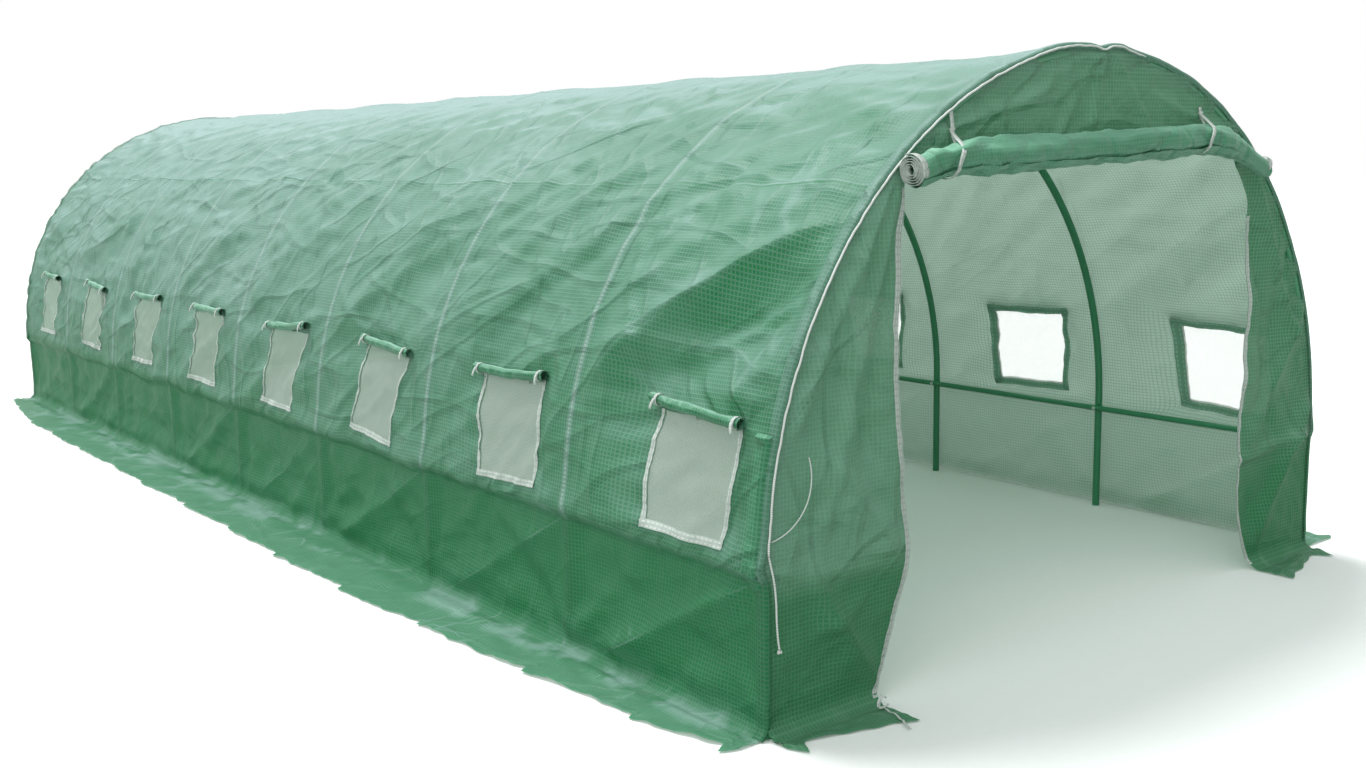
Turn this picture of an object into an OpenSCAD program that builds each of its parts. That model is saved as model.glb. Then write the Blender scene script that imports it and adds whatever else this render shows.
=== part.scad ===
// Polytunnel greenhouse: nine steel hoops joined by lengthwise tubes, under a woven sheet cover
// with netted side windows, a rolled-up front door, a zipped back door and loose ground skirts.
// X is the width, Y the length with the open front at -Y, Z is up from the ground.

/* [Tunnel] */
// Outside width over the cover
tunnel_w = 3000; // [2800:10:3200]
// Outside length over the two end sheets
tunnel_l = 8000; // [7500:10:8500]
// Height of the ridge over the ground
tunnel_h = 2000; // [1950:10:2100]
// Width of the loose skirt along the sides
skirt_w = 230; // [120:10:300]
// Width of the loose skirt at the two ends
end_skirt_w = 170; // [140:10:240]

/* [Frame] */
// Outside diameter of the hoop tubes
tube_d = 32; // [26:1:36]
// Wall of the steel tubes
tube_wall = 1.5; // [1.2:0.1:3]
// Outside diameter of the lengthwise tubes
purlin_d = 25; // [18:1:28]
// Drop of the lower lengthwise tubes below the foot of the bend
lower_purlin_drop = 30; // [20:5:100]
// Drop of the upper lengthwise tubes below the ridge
upper_purlin_drop = 300; // [250:5:340]

/* [Cover] */
// Thickness of every sheet
sheet_t = 2; // [1.5:0.5:4]
// Gap between a sheet and what lies against it
fit_gap = 0.3; // [0.1:0.1:0.6]
// Rise of the seam above the windows over the foot of the bend
side_seam_rise = 520; // [480:10:600]
// Drop of the seams beside the ridge sheet below the ridge
roof_seam_drop = 360; // [300:10:400]

/* [Windows] */
// Width of a side window along the tunnel
window_w = 400; // [340:10:440]
// Rise of a window's sill over the foot of the bend
window_sill_rise = 45; // [40:5:100]
// Rise of a window's head over the foot of the bend
window_head_rise = 395; // [360:5:410]
// Distance of a window from its bay's middle, towards the front
window_shift = 60; // [0:5:80]
// Width of the white tape beside a window
tape_w = 22; // [15:1:30]
// Width of the white tape under a window
sill_tape_w = 34; // [20:1:40]
// Diameter of a rolled window flap
flap_roll_d = 46; // [30:1:60]
// Length of a rolled window flap
flap_roll_l = 470; // [440:5:520]

/* [Door] */
// Width between the two zips
door_w = 1900; // [1700:10:2000]
// Drop of the lower edge of the sheet above the roll below the ridge
door_head_drop = 375; // [350:5:400]
// Diameter of the rolled-up door
door_roll_d = 110; // [90:1:120]
// Width of a zip's tape
zip_w = 26; // [18:1:30]
// Width of the two door ties
tie_w = 20; // [15:1:30]
// Thickness of tapes, zips and ties
tape_t = 1.5; // [1:0.5:2]
// Diameter of the cord in the hem
cord_d = 6; // [4:0.5:8]

/* [Hidden] */
$fn = 96;
bays = 8;
half_w = tunnel_w / 2;
half_l = tunnel_l / 2;
leg_h = tunnel_h - half_w;
cover_in_r = half_w - sheet_t;
end_r = cover_in_r - fit_gap;
hoop_r = end_r - tube_d / 2;
hoop_end_y = half_l - sheet_t - fit_gap - tube_d / 2;
bay_l = 2 * hoop_end_y / bays;
purlin_r = hoop_r - tube_d / 2 - fit_gap - purlin_d / 2;
purlin_l = 2 * hoop_end_y + tube_d;
lower_purlin_z = leg_h - lower_purlin_drop;
upper_purlin_a = asin((half_w - upper_purlin_drop) / purlin_r);
side_seam_a = asin(side_seam_rise / half_w);
roof_seam_a = asin((half_w - roof_seam_drop) / half_w);
sill_a = asin(window_sill_rise / half_w);
head_a = asin(window_head_rise / half_w);
sill_tape_a = sill_a - asin(sill_tape_w / half_w);
flap_a = head_a + asin(0.5 * flap_roll_d / half_w);
net_t = 1;
past = 10;
end_face_y = -half_l - fit_gap;
edge_margin = 34;
zip_low_z = 15;
zip_top_z = arch_z(door_w / 2 + zip_w) - edge_margin;
door_head_z = tunnel_h - door_head_drop;
door_roll_y = end_face_y - tape_t - fit_gap - door_roll_d / 2;
door_roll_end_d = door_roll_d - 18;
roll_sunk = 14;
door_roll_mid = [[-door_w / 2 + 250, door_head_z + 25], [door_w / 2 - 310, door_head_z + 75]];
door_roll_ends = [[-door_w / 2 - 20, door_head_z - 13], [door_w / 2 + 90, door_head_z - 20]];
tie_along = [0.04, 0.97];
hem_cord_r = end_r - 8;
hem_cord_low_z = leg_h + 50;
hem_cord_top_a = 78;
hem_cord_low_a = asin((hem_cord_low_z - leg_h) / hem_cord_r);
cord_sides = 8;
tail_x = -hem_cord_r * cos(hem_cord_low_a);
tail_y = end_face_y - cord_d / 2;
tail_route = [
  [tail_x, tail_y, hem_cord_low_z - fit_gap],
  [tail_x + 5, tail_y - 3, hem_cord_low_z - 30],
  [tail_x + 14, tail_y - 7, hem_cord_low_z - 80],
  [tail_x + 20, tail_y - 8, hem_cord_low_z - 140],
  [tail_x + 22, tail_y - 8, hem_cord_low_z - 200],
  [tail_x + 27, tail_y - 7, hem_cord_low_z - 250],
  [tail_x + 34, tail_y - 6, hem_cord_low_z - 288]
];
knot_d = 17;
loop_d = 4;
loop_y = end_face_y - loop_d / 2;
loop_route = [
  [tail_x + 158, loop_y, leg_h + 310],
  [tail_x + 161, loop_y - 3, leg_h + 290],
  [tail_x + 162, loop_y - 6, leg_h + 265],
  [tail_x + 160, loop_y - 8, leg_h + 240],
  [tail_x + 155, loop_y - 9, leg_h + 215],
  [tail_x + 146, loop_y - 10, leg_h + 190],
  [tail_x + 132, loop_y - 10, leg_h + 165],
  [tail_x + 112, loop_y - 9, leg_h + 140],
  [tail_x + 86, loop_y - 8, leg_h + 118],
  [tail_x + 58, loop_y - 6, leg_h + 102],
  [tail_x + 32, loop_y - 3, leg_h + 92],
  [tail_x + 11, loop_y, leg_h + 86]
];

// Height of the end sheets' outline at a distance from the middle
function arch_z(x) = leg_h + sqrt(end_r * end_r - x * x);
function hoop_y(i) = -hoop_end_y + i * bay_l;
function seam_y(i) = i == 0 ? -half_l : i == bays ? half_l : hoop_y(i);
function window_y(i) = hoop_y(i) + bay_l / 2 - window_shift;

// Ring of rectangular section about the tunnel's axis, from angle a0 to a1 above the right side
module arch_sector(r_in, r_out, a0, a1, y0, y1) {
  translate([0, 0, leg_h])
    rotate([90, 0, 0])
      rotate([0, 0, a0])
        rotate_extrude(angle = a1 - a0)
          translate([r_in, -y1])
            square([r_out - r_in, y1 - y0]);
}

module to_left() {
  mirror([1, 0, 0]) children();
}

module to_back() {
  mirror([0, 1, 0]) children();
}

// Arch outline drawn in the plane across the tunnel
module end_outline() {
  translate([0, leg_h]) circle(r = end_r, $fn = 360);
  translate([-end_r, 0]) square([2 * end_r, leg_h]);
}

// Flat end sheet between two widths and two heights
module end_sheet(x0, x1, z0) {
  translate([0, -half_l + sheet_t, 0])
    rotate([90, 0, 0])
      linear_extrude(sheet_t)
        intersection() {
          end_outline();
          translate([x0, z0]) square([x1 - x0, tunnel_h]);
        }
}

module hoop(y) {
  color("darkgreen")
    translate([0, y, 0])
      difference() {
        hoop_rod(tube_d, 0);
        hoop_rod(tube_d - 2 * tube_wall, past);
      }
}

// Half ring on two legs, one bent rod of round section
module hoop_rod(d, over) {
  translate([0, 0, leg_h])
    rotate([90, 0, 0])
      rotate_extrude(angle = 180)
        translate([hoop_r, 0]) circle(d = d, $fn = 32);
  for (x = [-hoop_r, hoop_r])
    translate([x, 0, -over]) cylinder(d = d, h = leg_h + over, $fn = 32);
}

module purlin(x, z) {
  color("darkgreen")
    translate([x, purlin_l / 2, z])
      rotate([90, 0, 0])
        difference() {
          cylinder(d = purlin_d, h = purlin_l, $fn = 32);
          translate([0, 0, -past])
            cylinder(d = purlin_d - 2 * tube_wall, h = purlin_l + 2 * past, $fn = 32);
        }
}

module front_hoop() { hoop(hoop_y(0)); }
module hoop_2() { hoop(hoop_y(1)); }
module hoop_3() { hoop(hoop_y(2)); }
module hoop_4() { hoop(hoop_y(3)); }
module hoop_5() { hoop(hoop_y(4)); }
module hoop_6() { hoop(hoop_y(5)); }
module hoop_7() { hoop(hoop_y(6)); }
module hoop_8() { hoop(hoop_y(7)); }
module back_hoop() { hoop(hoop_y(8)); }

module ridge_purlin() { purlin(0, leg_h + purlin_r); }
module right_upper_purlin() { purlin(purlin_r * cos(upper_purlin_a), tunnel_h - upper_purlin_drop); }
module left_upper_purlin() { to_left() right_upper_purlin(); }
module right_lower_purlin() { purlin(purlin_r, lower_purlin_z); }
module left_lower_purlin() { to_left() right_lower_purlin(); }

module ridge_sheet() {
  color("mediumseagreen")
    arch_sector(cover_in_r, half_w, roof_seam_a, 180 - roof_seam_a, -half_l, half_l);
}

module right_roof_sheet() {
  color("mediumseagreen")
    arch_sector(cover_in_r, half_w, side_seam_a, roof_seam_a, -half_l, half_l);
}
module left_roof_sheet() { to_left() right_roof_sheet(); }

// One width of sheet from seam to seam in each bay, with a window cut through it
module right_window_sheet() {
  color("seagreen")
    for (i = [0 : bays - 1])
      difference() {
        arch_sector(cover_in_r, half_w, 0, side_seam_a, seam_y(i) + fit_gap / 2, seam_y(i + 1) - fit_gap / 2);
        arch_sector(cover_in_r - past, half_w + past, sill_a, head_a,
          window_y(i) - window_w / 2, window_y(i) + window_w / 2);
      }
}
module left_window_sheet() { to_left() right_window_sheet(); }

module right_wall_sheet() {
  color("seagreen")
    translate([cover_in_r, -half_l, 0]) cube([sheet_t, tunnel_l, leg_h]);
}
module left_wall_sheet() { to_left() right_wall_sheet(); }

module right_window_nets() {
  net_r = cover_in_r + (sheet_t - net_t) / 2;
  gap_a = asin(fit_gap / half_w);
  color("lightgray")
    for (i = [0 : bays - 1])
      arch_sector(net_r, net_r + net_t, sill_a + gap_a, head_a - gap_a,
        window_y(i) - window_w / 2 + fit_gap, window_y(i) + window_w / 2 - fit_gap);
}
module left_window_nets() { to_left() right_window_nets(); }

module right_window_tapes() {
  tape_r = half_w + fit_gap;
  color("white")
    for (i = [0 : bays - 1])
      difference() {
        arch_sector(tape_r, tape_r + tape_t, sill_tape_a, head_a,
          window_y(i) - window_w / 2 - tape_w, window_y(i) + window_w / 2 + tape_w);
        arch_sector(tape_r - past, tape_r + past, sill_a, head_a + 1,
          window_y(i) - window_w / 2, window_y(i) + window_w / 2);
      }
}
module left_window_tapes() { to_left() right_window_tapes(); }

module right_flap_rolls() {
  roll_r = half_w + fit_gap + flap_roll_d / 2;
  color("seagreen")
    for (i = [0 : bays - 1])
      translate([roll_r * cos(flap_a), window_y(i) + flap_roll_l / 2, leg_h + roll_r * sin(flap_a)])
        rotate([90, 0, 0]) cylinder(d = flap_roll_d, h = flap_roll_l, $fn = 32);
}
module left_flap_rolls() { to_left() right_flap_rolls(); }

module front_left_panel() {
  color("seagreen") end_sheet(-half_w, -door_w / 2, 0);
}
module front_right_panel() {
  color("seagreen") end_sheet(door_w / 2, half_w, 0);
}
module front_top_panel() {
  color("mediumseagreen") end_sheet(-door_w / 2, door_w / 2, door_head_z);
}

// Round bar between two points of the door roll, given across and up, begun a little before a
module roll_length(a, b, d, before) {
  way = b - a;
  translate([a[0], door_roll_y, a[1]])
    rotate([0, atan2(way[0], way[1]), 0])
      translate([0, 0, -before]) cylinder(d = d, h = norm(way) + before);
}

module front_door_roll() {
  color("seagreen") {
    roll_length(door_roll_mid[0], door_roll_mid[1], door_roll_d, 0);
    for (i = [0, 1])
      roll_length(door_roll_mid[i], door_roll_ends[i], door_roll_end_d, roll_sunk);
  }
}

// Loop about the roll, sewn to a strap on the sheet above it
module door_tie(p) {
  d = door_roll_mid[1] - door_roll_mid[0];
  loop_r = door_roll_d / 2 + fit_gap;
  translate([p[0], door_roll_y, p[1]])
    rotate([0, atan2(d[0], d[1]), 0])
      difference() {
        translate([0, 0, -tie_w / 2]) cylinder(r = loop_r + tape_t, h = tie_w);
        translate([0, 0, -tie_w]) cylinder(r = loop_r, h = 2 * tie_w);
      }
  translate([p[0] - tie_w / 2, end_face_y - tape_t, p[1]])
    cube([tie_w, tape_t, arch_z(abs(p[0]) + tie_w / 2) - edge_margin - p[1]]);
}

module door_ties() {
  color("white")
    for (t = tie_along)
      door_tie(door_roll_mid[0] * (1 - t) + door_roll_mid[1] * t);
}

module front_zips() {
  color("white")
    for (x = [-door_w / 2 - zip_w, door_w / 2])
      translate([x, end_face_y - tape_t, zip_low_z])
        cube([zip_w, tape_t, zip_top_z - zip_low_z]);
}

module back_left_panel() { to_back() front_left_panel(); }
module back_right_panel() { to_back() front_right_panel(); }
module back_door_panel() {
  color("seagreen") to_back() end_sheet(-door_w / 2, door_w / 2, 0);
}
module back_zips() { to_back() front_zips(); }

// Cord in the hem of an end, from beside the ridge down to the left leg
module hem_cord() {
  translate([0, end_face_y - cord_d / 2, leg_h])
    rotate([90, 0, 0])
      rotate([0, 0, hem_cord_top_a])
        rotate_extrude(angle = 180 - hem_cord_low_a - hem_cord_top_a)
          translate([hem_cord_r, 0]) circle(d = cord_d, $fn = 24);
}

module hem_cords() {
  color("white") {
    hem_cord();
    to_back() hem_cord();
  }
}

// Tube along a route, each ring turned square to the route at its point
module cord_along(route, d) {
  n = len(route);
  function way(i) = let (a = route[max(i - 1, 0)], b = route[min(i + 1, n - 1)]) (b - a) / norm(b - a);
  function across(i) = let (c = cross(way(i), [0, 1, 0])) c / norm(c);
  rings = [for (i = [0 : n - 1]) for (k = [0 : cord_sides - 1])
    let (a = 360 * k / cord_sides, u = across(i), v = cross(way(i), u))
      route[i] + d / 2 * (cos(a) * u + sin(a) * v)];
  sides = [for (i = [0 : n - 2]) for (k = [0 : cord_sides - 1])
    let (m = (k + 1) % cord_sides, p = i * cord_sides, q = (i + 1) * cord_sides)
      [p + k, q + k, q + m, p + m]];
  start = [for (k = [0 : cord_sides - 1]) k];
  stop = [for (k = [0 : cord_sides - 1]) n * cord_sides - 1 - k];
  polyhedron(rings, concat(sides, [start, stop]), convexity = 4);
}

module cord_tail() {
  color("white") {
    cord_along(tail_route, cord_d);
    translate(tail_route[len(tail_route) - 1]) sphere(d = knot_d, $fn = 24);
  }
}

// Thin cord slung from the left panel back to the hem
module cord_loop() {
  color("white") cord_along(loop_route, loop_d);
}

module right_skirt() {
  color("mediumseagreen")
    translate([half_w, -half_l, 0]) cube([skirt_w, tunnel_l, sheet_t]);
}
module left_skirt() { to_left() right_skirt(); }

module front_right_skirt() {
  color("mediumseagreen")
    translate([door_w / 2, -half_l - end_skirt_w, 0])
      cube([half_w - door_w / 2, end_skirt_w, sheet_t]);
}
module front_left_skirt() { to_left() front_right_skirt(); }
module back_skirt() {
  color("mediumseagreen")
    translate([-half_w, half_l, 0]) cube([tunnel_w, end_skirt_w, sheet_t]);
}

front_hoop();
hoop_2();
hoop_3();
hoop_4();
hoop_5();
hoop_6();
hoop_7();
hoop_8();
back_hoop();
ridge_purlin();
left_upper_purlin();
right_upper_purlin();
left_lower_purlin();
right_lower_purlin();
ridge_sheet();
left_roof_sheet();
right_roof_sheet();
left_window_sheet();
right_window_sheet();
left_wall_sheet();
right_wall_sheet();
left_window_nets();
right_window_nets();
left_window_tapes();
right_window_tapes();
left_flap_rolls();
right_flap_rolls();
front_left_panel();
front_right_panel();
front_top_panel();
front_door_roll();
door_ties();
front_zips();
back_left_panel();
back_right_panel();
back_door_panel();
back_zips();
hem_cords();
cord_tail();
cord_loop();
left_skirt();
right_skirt();
front_left_skirt();
front_right_skirt();
back_skirt();
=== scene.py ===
"""Looks of the polytunnel greenhouse: a creased woven sheet over steel hoops, netted windows,
a rolled-up door with its ties and zips, and the loose skirts on the ground."""

import math

import bmesh
import bpy
import numpy as np
from mathutils import Matrix, Vector


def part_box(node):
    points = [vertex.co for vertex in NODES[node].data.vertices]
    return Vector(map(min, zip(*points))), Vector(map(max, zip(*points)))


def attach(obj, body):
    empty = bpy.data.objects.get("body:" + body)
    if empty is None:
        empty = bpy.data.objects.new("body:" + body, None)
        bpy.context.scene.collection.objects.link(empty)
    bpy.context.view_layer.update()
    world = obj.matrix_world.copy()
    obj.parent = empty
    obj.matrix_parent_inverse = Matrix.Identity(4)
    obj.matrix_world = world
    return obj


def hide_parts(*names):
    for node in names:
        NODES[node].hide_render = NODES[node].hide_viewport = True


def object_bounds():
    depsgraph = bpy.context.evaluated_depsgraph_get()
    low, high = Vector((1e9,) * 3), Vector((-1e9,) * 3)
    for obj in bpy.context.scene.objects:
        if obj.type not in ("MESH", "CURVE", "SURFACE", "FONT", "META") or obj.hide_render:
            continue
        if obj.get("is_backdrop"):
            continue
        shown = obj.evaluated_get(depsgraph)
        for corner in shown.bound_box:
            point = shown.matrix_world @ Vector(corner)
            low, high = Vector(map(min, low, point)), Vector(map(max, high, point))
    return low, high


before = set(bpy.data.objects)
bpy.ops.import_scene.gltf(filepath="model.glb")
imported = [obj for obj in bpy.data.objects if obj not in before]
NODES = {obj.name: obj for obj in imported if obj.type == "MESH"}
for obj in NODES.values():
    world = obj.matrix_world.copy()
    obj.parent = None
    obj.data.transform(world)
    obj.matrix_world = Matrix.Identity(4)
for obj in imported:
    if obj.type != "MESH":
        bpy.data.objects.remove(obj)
CAD_LOW, CAD_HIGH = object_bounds()

# Main sizes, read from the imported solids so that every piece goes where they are, in metres.
HALF_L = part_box("ridge_sheet")[1].y
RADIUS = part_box("right_wall_sheet")[1].x
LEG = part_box("right_wall_sheet")[1].z
HOOP_NAMES = ["front_hoop"] + [f"hoop_{i}" for i in range(2, 9)] + ["back_hoop"]
PURLIN_NAMES = ["ridge_purlin", "left_upper_purlin", "right_upper_purlin", "left_lower_purlin", "right_lower_purlin"]
HOOPS = [sum(c.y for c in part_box(n)) / 2 for n in HOOP_NAMES]
BAY = HOOPS[1] - HOOPS[0]
WINDOW_W, WINDOW_SHIFT = 0.400, 0.060
WINDOW_YS = [y + BAY / 2 - WINDOW_SHIFT for y in HOOPS[:-1]]
SILL_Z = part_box("left_window_nets")[0].z
HEAD_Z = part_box("left_window_nets")[1].z
FOOT_BEND = 0.045                                  # how softly the sheet turns from wall to ground
ARC_END = RADIUS * math.pi / 2                     # girth from the ridge to the arch's foot
WALL_END = ARC_END + LEG - FOOT_BEND               # girth at which the wall begins to turn to the ground
GROUND = WALL_END + FOOT_BEND * math.pi / 2        # girth at which the sheet lies on the ground
SILL_S = ARC_END - RADIUS * math.asin((SILL_Z - LEG) / RADIUS)
HEAD_S = ARC_END - RADIUS * math.asin((HEAD_Z - LEG) / RADIUS)
HALF_W, HALF_TALL = WINDOW_W / 2, 0.5 * (SILL_S - HEAD_S)         # half of a window's width and of its girth
WINDOW_S = 0.5 * (SILL_S + HEAD_S)                 # girth of the windows' middle
CREASE_FOOT, CREASE_RISE = 0.571, 0.555            # lower wall's sharp creases: girth at the hoop's line, slope
SEAM_S = 1.160                                     # girth of the weld between two widths of the sheet
SKIRT_RUN = 0.23                                   # girth of the loose hem that lies on the ground
END_HEM = 0.15                                     # the same at the tunnel's two ends
SHEET_IN = 0.001                                   # half of the sheet's modelled thickness
LEFT, RIGHT = -1, 1


# ---- camera ----
PHOTO_W = 1366
CAMERA_AT = (-4.048, -6.884, 1.676)
CAMERA_YAW, CAMERA_PITCH, CAMERA_ROLL = 38.155, -9.305, -1.032
FOCAL_PX = 1410.0


def aim_camera():
    yaw, pitch, roll = (math.radians(a) for a in (CAMERA_YAW, CAMERA_PITCH, CAMERA_ROLL))
    ahead = Vector((math.sin(yaw) * math.cos(pitch), math.cos(yaw) * math.cos(pitch), math.sin(pitch)))
    level = Vector((math.cos(yaw), -math.sin(yaw), 0))
    up = level.cross(ahead)
    across = level * math.cos(roll) + up * math.sin(roll)
    upright = up * math.cos(roll) - level * math.sin(roll)
    data = bpy.data.cameras.new("photo_camera")
    data.sensor_width = 36.0
    data.lens = data.sensor_width * FOCAL_PX / PHOTO_W
    data.clip_end = 200
    camera = bpy.data.objects.new("photo_camera", data)
    turn = Matrix((across, upright, -ahead)).transposed().to_4x4()
    camera.matrix_world = Matrix.Translation(CAMERA_AT) @ turn
    bpy.context.scene.collection.objects.link(camera)
    bpy.context.scene.camera = camera


aim_camera()


# ---- small tools ----
def gradient_noise(u, v, seed):
    """Smooth noise from -1 to 1 about every whole step of u and v, the same on each run."""
    turn = np.random.default_rng(seed).uniform(0, 2 * np.pi, (64, 64))
    gu, gv = np.cos(turn), np.sin(turn)
    iu, iv = np.floor(u).astype(int), np.floor(v).astype(int)
    fu, fv = u - iu, v - iv
    su, sv = (f * f * f * (f * (f * 6 - 15) + 10) for f in (fu, fv))

    def corner(a, b):
        i, j = (iu + a) % 64, (iv + b) % 64
        return gu[i, j] * (fu - a) + gv[i, j] * (fv - b)

    low = corner(0, 0) + su * (corner(1, 0) - corner(0, 0))
    high = corner(0, 1) + su * (corner(1, 1) - corner(0, 1))
    return (low + sv * (high - low)) * 1.4


def crumple(u, v, seed, layers=3):
    """Creased, faceted relief of a sheet that has been folded: sharp valleys between soft cheeks."""
    total, size = 0, 1.0
    for k in range(layers):
        bend = 0.35 * gradient_noise(u * 0.7 + 5, v * 0.7 + 9, seed + 50 + k)
        total = total + size * (np.abs(gradient_noise(u + bend, v - bend, seed + k)) * 2 - 0.6)
        u, v, size = u * 1.9 + 3.1, v * 1.9 + 1.7, size * 0.48
    return total


def soft_step(x, low, high):
    t = np.clip((x - low) / (high - low), 0, 1)
    return t * t * (3 - 2 * t)


def bump_line(d, width):
    """1 on a line and falling off to both sides with a sharp crest, as a pressed crease does."""
    return np.exp(-np.abs(d) / width)


def swell(d, width):
    return np.exp(-(d / width) ** 2)


def along_segment(y, s, ends):
    """Distance from a crease's line and how far along it a point is, from 0 to 1."""
    (y0, s0), (y1, s1) = ends
    run = math.hypot(y1 - y0, s1 - s0)
    ey, es = (y1 - y0) / run, (s1 - s0) / run
    t = ((y - y0) * ey + (s - s0) * es) / run
    return (y - y0) * es - (s - s0) * ey, t


def fade_ends(t, soft=0.25):
    return soft_step(t, -soft, soft) * (1 - soft_step(t, 1 - soft, 1 + soft))


def grid_quads(rows, cols, keep=None):
    """Faces of a grid of points, or those of them to keep."""
    i, j = np.meshgrid(np.arange(rows - 1), np.arange(cols - 1), indexing="ij")
    quads = np.stack([i * cols + j, i * cols + j + 1, (i + 1) * cols + j + 1, (i + 1) * cols + j], -1)
    return (quads if keep is None else quads[keep]).reshape(-1, 4)


def ring_faces(rings, sides):
    """Faces between rings of points that follow one another."""
    return [[i * sides + k, i * sides + (k + 1) % sides, (i + 1) * sides + (k + 1) % sides, (i + 1) * sides + k]
            for i in range(rings - 1) for k in range(sides)]


def lines(marks, step):
    """Grid places that include every mark, about one step apart; a step is a size or a table of (up to, size)."""
    places = [marks[0]]
    for a, b in zip(marks, marks[1:]):
        size = step if isinstance(step, float) else next(size for end, size in step if 0.5 * (a + b) < end)
        places += list(np.linspace(a, b, max(1, round((b - a) / size)) + 1)[1:])
    return np.array(places)


def directions(path):
    """Unit directions along a path."""
    way = np.gradient(path, axis=0)
    return way / np.linalg.norm(way, axis=1)[:, None]


def path_run(path):
    """How far along a path each of its points is."""
    return np.concatenate([[0], np.cumsum(np.linalg.norm(np.diff(path, axis=0), axis=1))])


def piece(name, points, faces, material, cloth=None, replaces=(), smooth=True):
    """One mesh object that rides on the tunnel; cloth gives its weave's place in metres."""
    mesh = bpy.data.meshes.new(name)
    faces = faces.tolist() if isinstance(faces, np.ndarray) else [[int(i) for i in f] for f in faces]
    mesh.from_pydata(np.asarray(points, float).reshape(-1, 3).tolist(), [], faces)
    used = {i for f in faces for i in f}
    if cloth is not None:
        weave = mesh.uv_layers.new(name="cloth")
        corner = np.zeros(len(mesh.loops), np.int32)
        mesh.loops.foreach_get("vertex_index", corner)
        weave.data.foreach_set("uv", np.asarray(cloth, np.float32).reshape(-1, 2)[corner].ravel())
    if len(used) < len(mesh.vertices):
        work = bmesh.new()
        work.from_mesh(mesh)
        bmesh.ops.delete(work, geom=[v for v in work.verts if not v.link_faces], context="VERTS")
        work.to_mesh(mesh)
        work.free()
    mesh.polygons.foreach_set("use_smooth", np.full(len(mesh.polygons), smooth))
    mesh.materials.append(material)
    made = bpy.data.objects.new(name, mesh)
    bpy.context.scene.collection.objects.link(made)
    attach(made, "root")
    if replaces:
        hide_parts(*replaces)
    return made


def tube(points, radius, sides=8):
    """Points and faces of a round cord along a path."""
    path = np.asarray(points, float)
    way = directions(path)
    side = np.cross(way[0], (0.31, 0.87, 0.39))
    turn = np.linspace(0, 2 * np.pi, sides, endpoint=False)
    rings = []
    for p, w in zip(path, way):
        side = side - w * np.dot(side, w)
        side /= np.linalg.norm(side)
        up = np.cross(w, side)
        rings.append(p + radius * (np.cos(turn)[:, None] * side + np.sin(turn)[:, None] * up))
    n = len(path)
    last = (n - 1) * sides
    faces = ring_faces(n, sides)
    faces += [[n * sides, (k + 1) % sides, k] for k in range(sides)]
    faces += [[n * sides + 1, last + k, last + (k + 1) % sides] for k in range(sides)]
    return np.concatenate(rings + [path[:1], path[-1:]]), faces


def merged(parts):
    """Several (points, faces) as one."""
    points, faces, first = [], [], 0
    for p, f in parts:
        points.append(np.asarray(p, float).reshape(-1, 3))
        faces += [[i + first for i in q] for q in f]
        first += len(points[-1])
    return np.concatenate(points), faces


def smooth_path(marks, count):
    """A smooth curve through a few marks, by Catmull-Rom."""
    p = np.asarray(marks, float)
    p = np.concatenate([[2 * p[0] - p[1]], p, [2 * p[-1] - p[-2]]])
    out = []
    for t in np.linspace(0, len(p) - 3 - 1e-9, count):
        i = int(t)
        f = t - i
        a, b, c, d = p[i:i + 4]
        out.append(0.5 * (2 * b + (c - a) * f + (2 * a - 5 * b + 4 * c - d) * f ** 2
                          + (3 * b - a - 3 * c + d) * f ** 3))
    return np.array(out)


# ---- materials ----
def ink(code):
    """An sRGB hex colour as linear values."""
    parts = [int(code[i:i + 2], 16) / 255 for i in (1, 3, 5)]
    return (*[c / 12.92 if c <= 0.04045 else ((c + 0.055) / 1.055) ** 2.4 for c in parts], 1.0)


# Second colours of the finishes below.
# The inner side: the laminate's milky film painted paler with the glow of light through it, its threads painted darker
# against it, and its painted shade below the bend.
INNER_FILM_GLOW, INNER_THREAD, INNER_SHADED = "#a9c3b4", "#4a7860", "#457a58"     # the laminate's milky inner side
SEWING_THREAD, TAPE_SOIL, RUBBED_COAT = "#c9dfd3", "#9fb3a6", "#4d7a60"
NET_THREAD, NET_GLOW, CORD_SHADE = "#c9d0c9", "#cfd6d0", "#b9c2bb"
ZINC_CLOUDY, ZINC_BRIGHT = "#aab0b0", "#d8dcdb"
WEAVE_DEEP, FOLD_DEEP = 0.0018, 0.0075             # depth in metres of the threads and of the old folds


def put(tree, kind, inputs=(), **settings):
    """Adds one node with its settings. Its inputs are given by socket, or in the order of the sockets. Each is a
    value, another node's output, or another node, whose first working output is then taken."""
    made = tree.nodes.new("ShaderNode" + kind)
    for key, value in settings.items():
        setattr(made, key, value)
    for socket, value in (inputs.items() if isinstance(inputs, dict) else enumerate(inputs)):
        if isinstance(value, bpy.types.Node):
            value = next(out for out in value.outputs if out.enabled)
        if isinstance(value, bpy.types.NodeSocket):
            tree.links.new(value, made.inputs[socket])
        else:
            made.inputs[socket].default_value = value
    return made


def new_material(name):
    made = bpy.data.materials.new(name)
    made.use_nodes = True
    made.node_tree.nodes.clear()
    return made, made.node_tree


def finish_material(tree, shader):
    put(tree, "OutputMaterial", {"Surface": shader})


# The real threads are about 10 mm apart and 1 mm wide, the real net's mesh is about 1.5 mm; drawn coarser so that
# they show.
THREAD_PITCH, THREAD_WIDE = 0.014, 0.0032
NET_PITCH, NET_WIDE = 0.005, 0.0013


def thread_grid(tree, pitch, width):
    """1 on the threads of a square weave, from the sheet's own flat measure in metres, and that measure's parts."""
    part = put(tree, "SeparateXYZ", [put(tree, "UVMap", uv_map="cloth")])
    masks = []
    for axis in "XY":
        fold = put(tree, "Math", (part.outputs[axis], pitch / 2), operation="PINGPONG")
        masks.append(put(tree, "MapRange", (fold, width * 0.3, width, 1.0, 0.0), interpolation_type="SMOOTHSTEP"))
    return put(tree, "Math", masks, operation="MAXIMUM"), part
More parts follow.
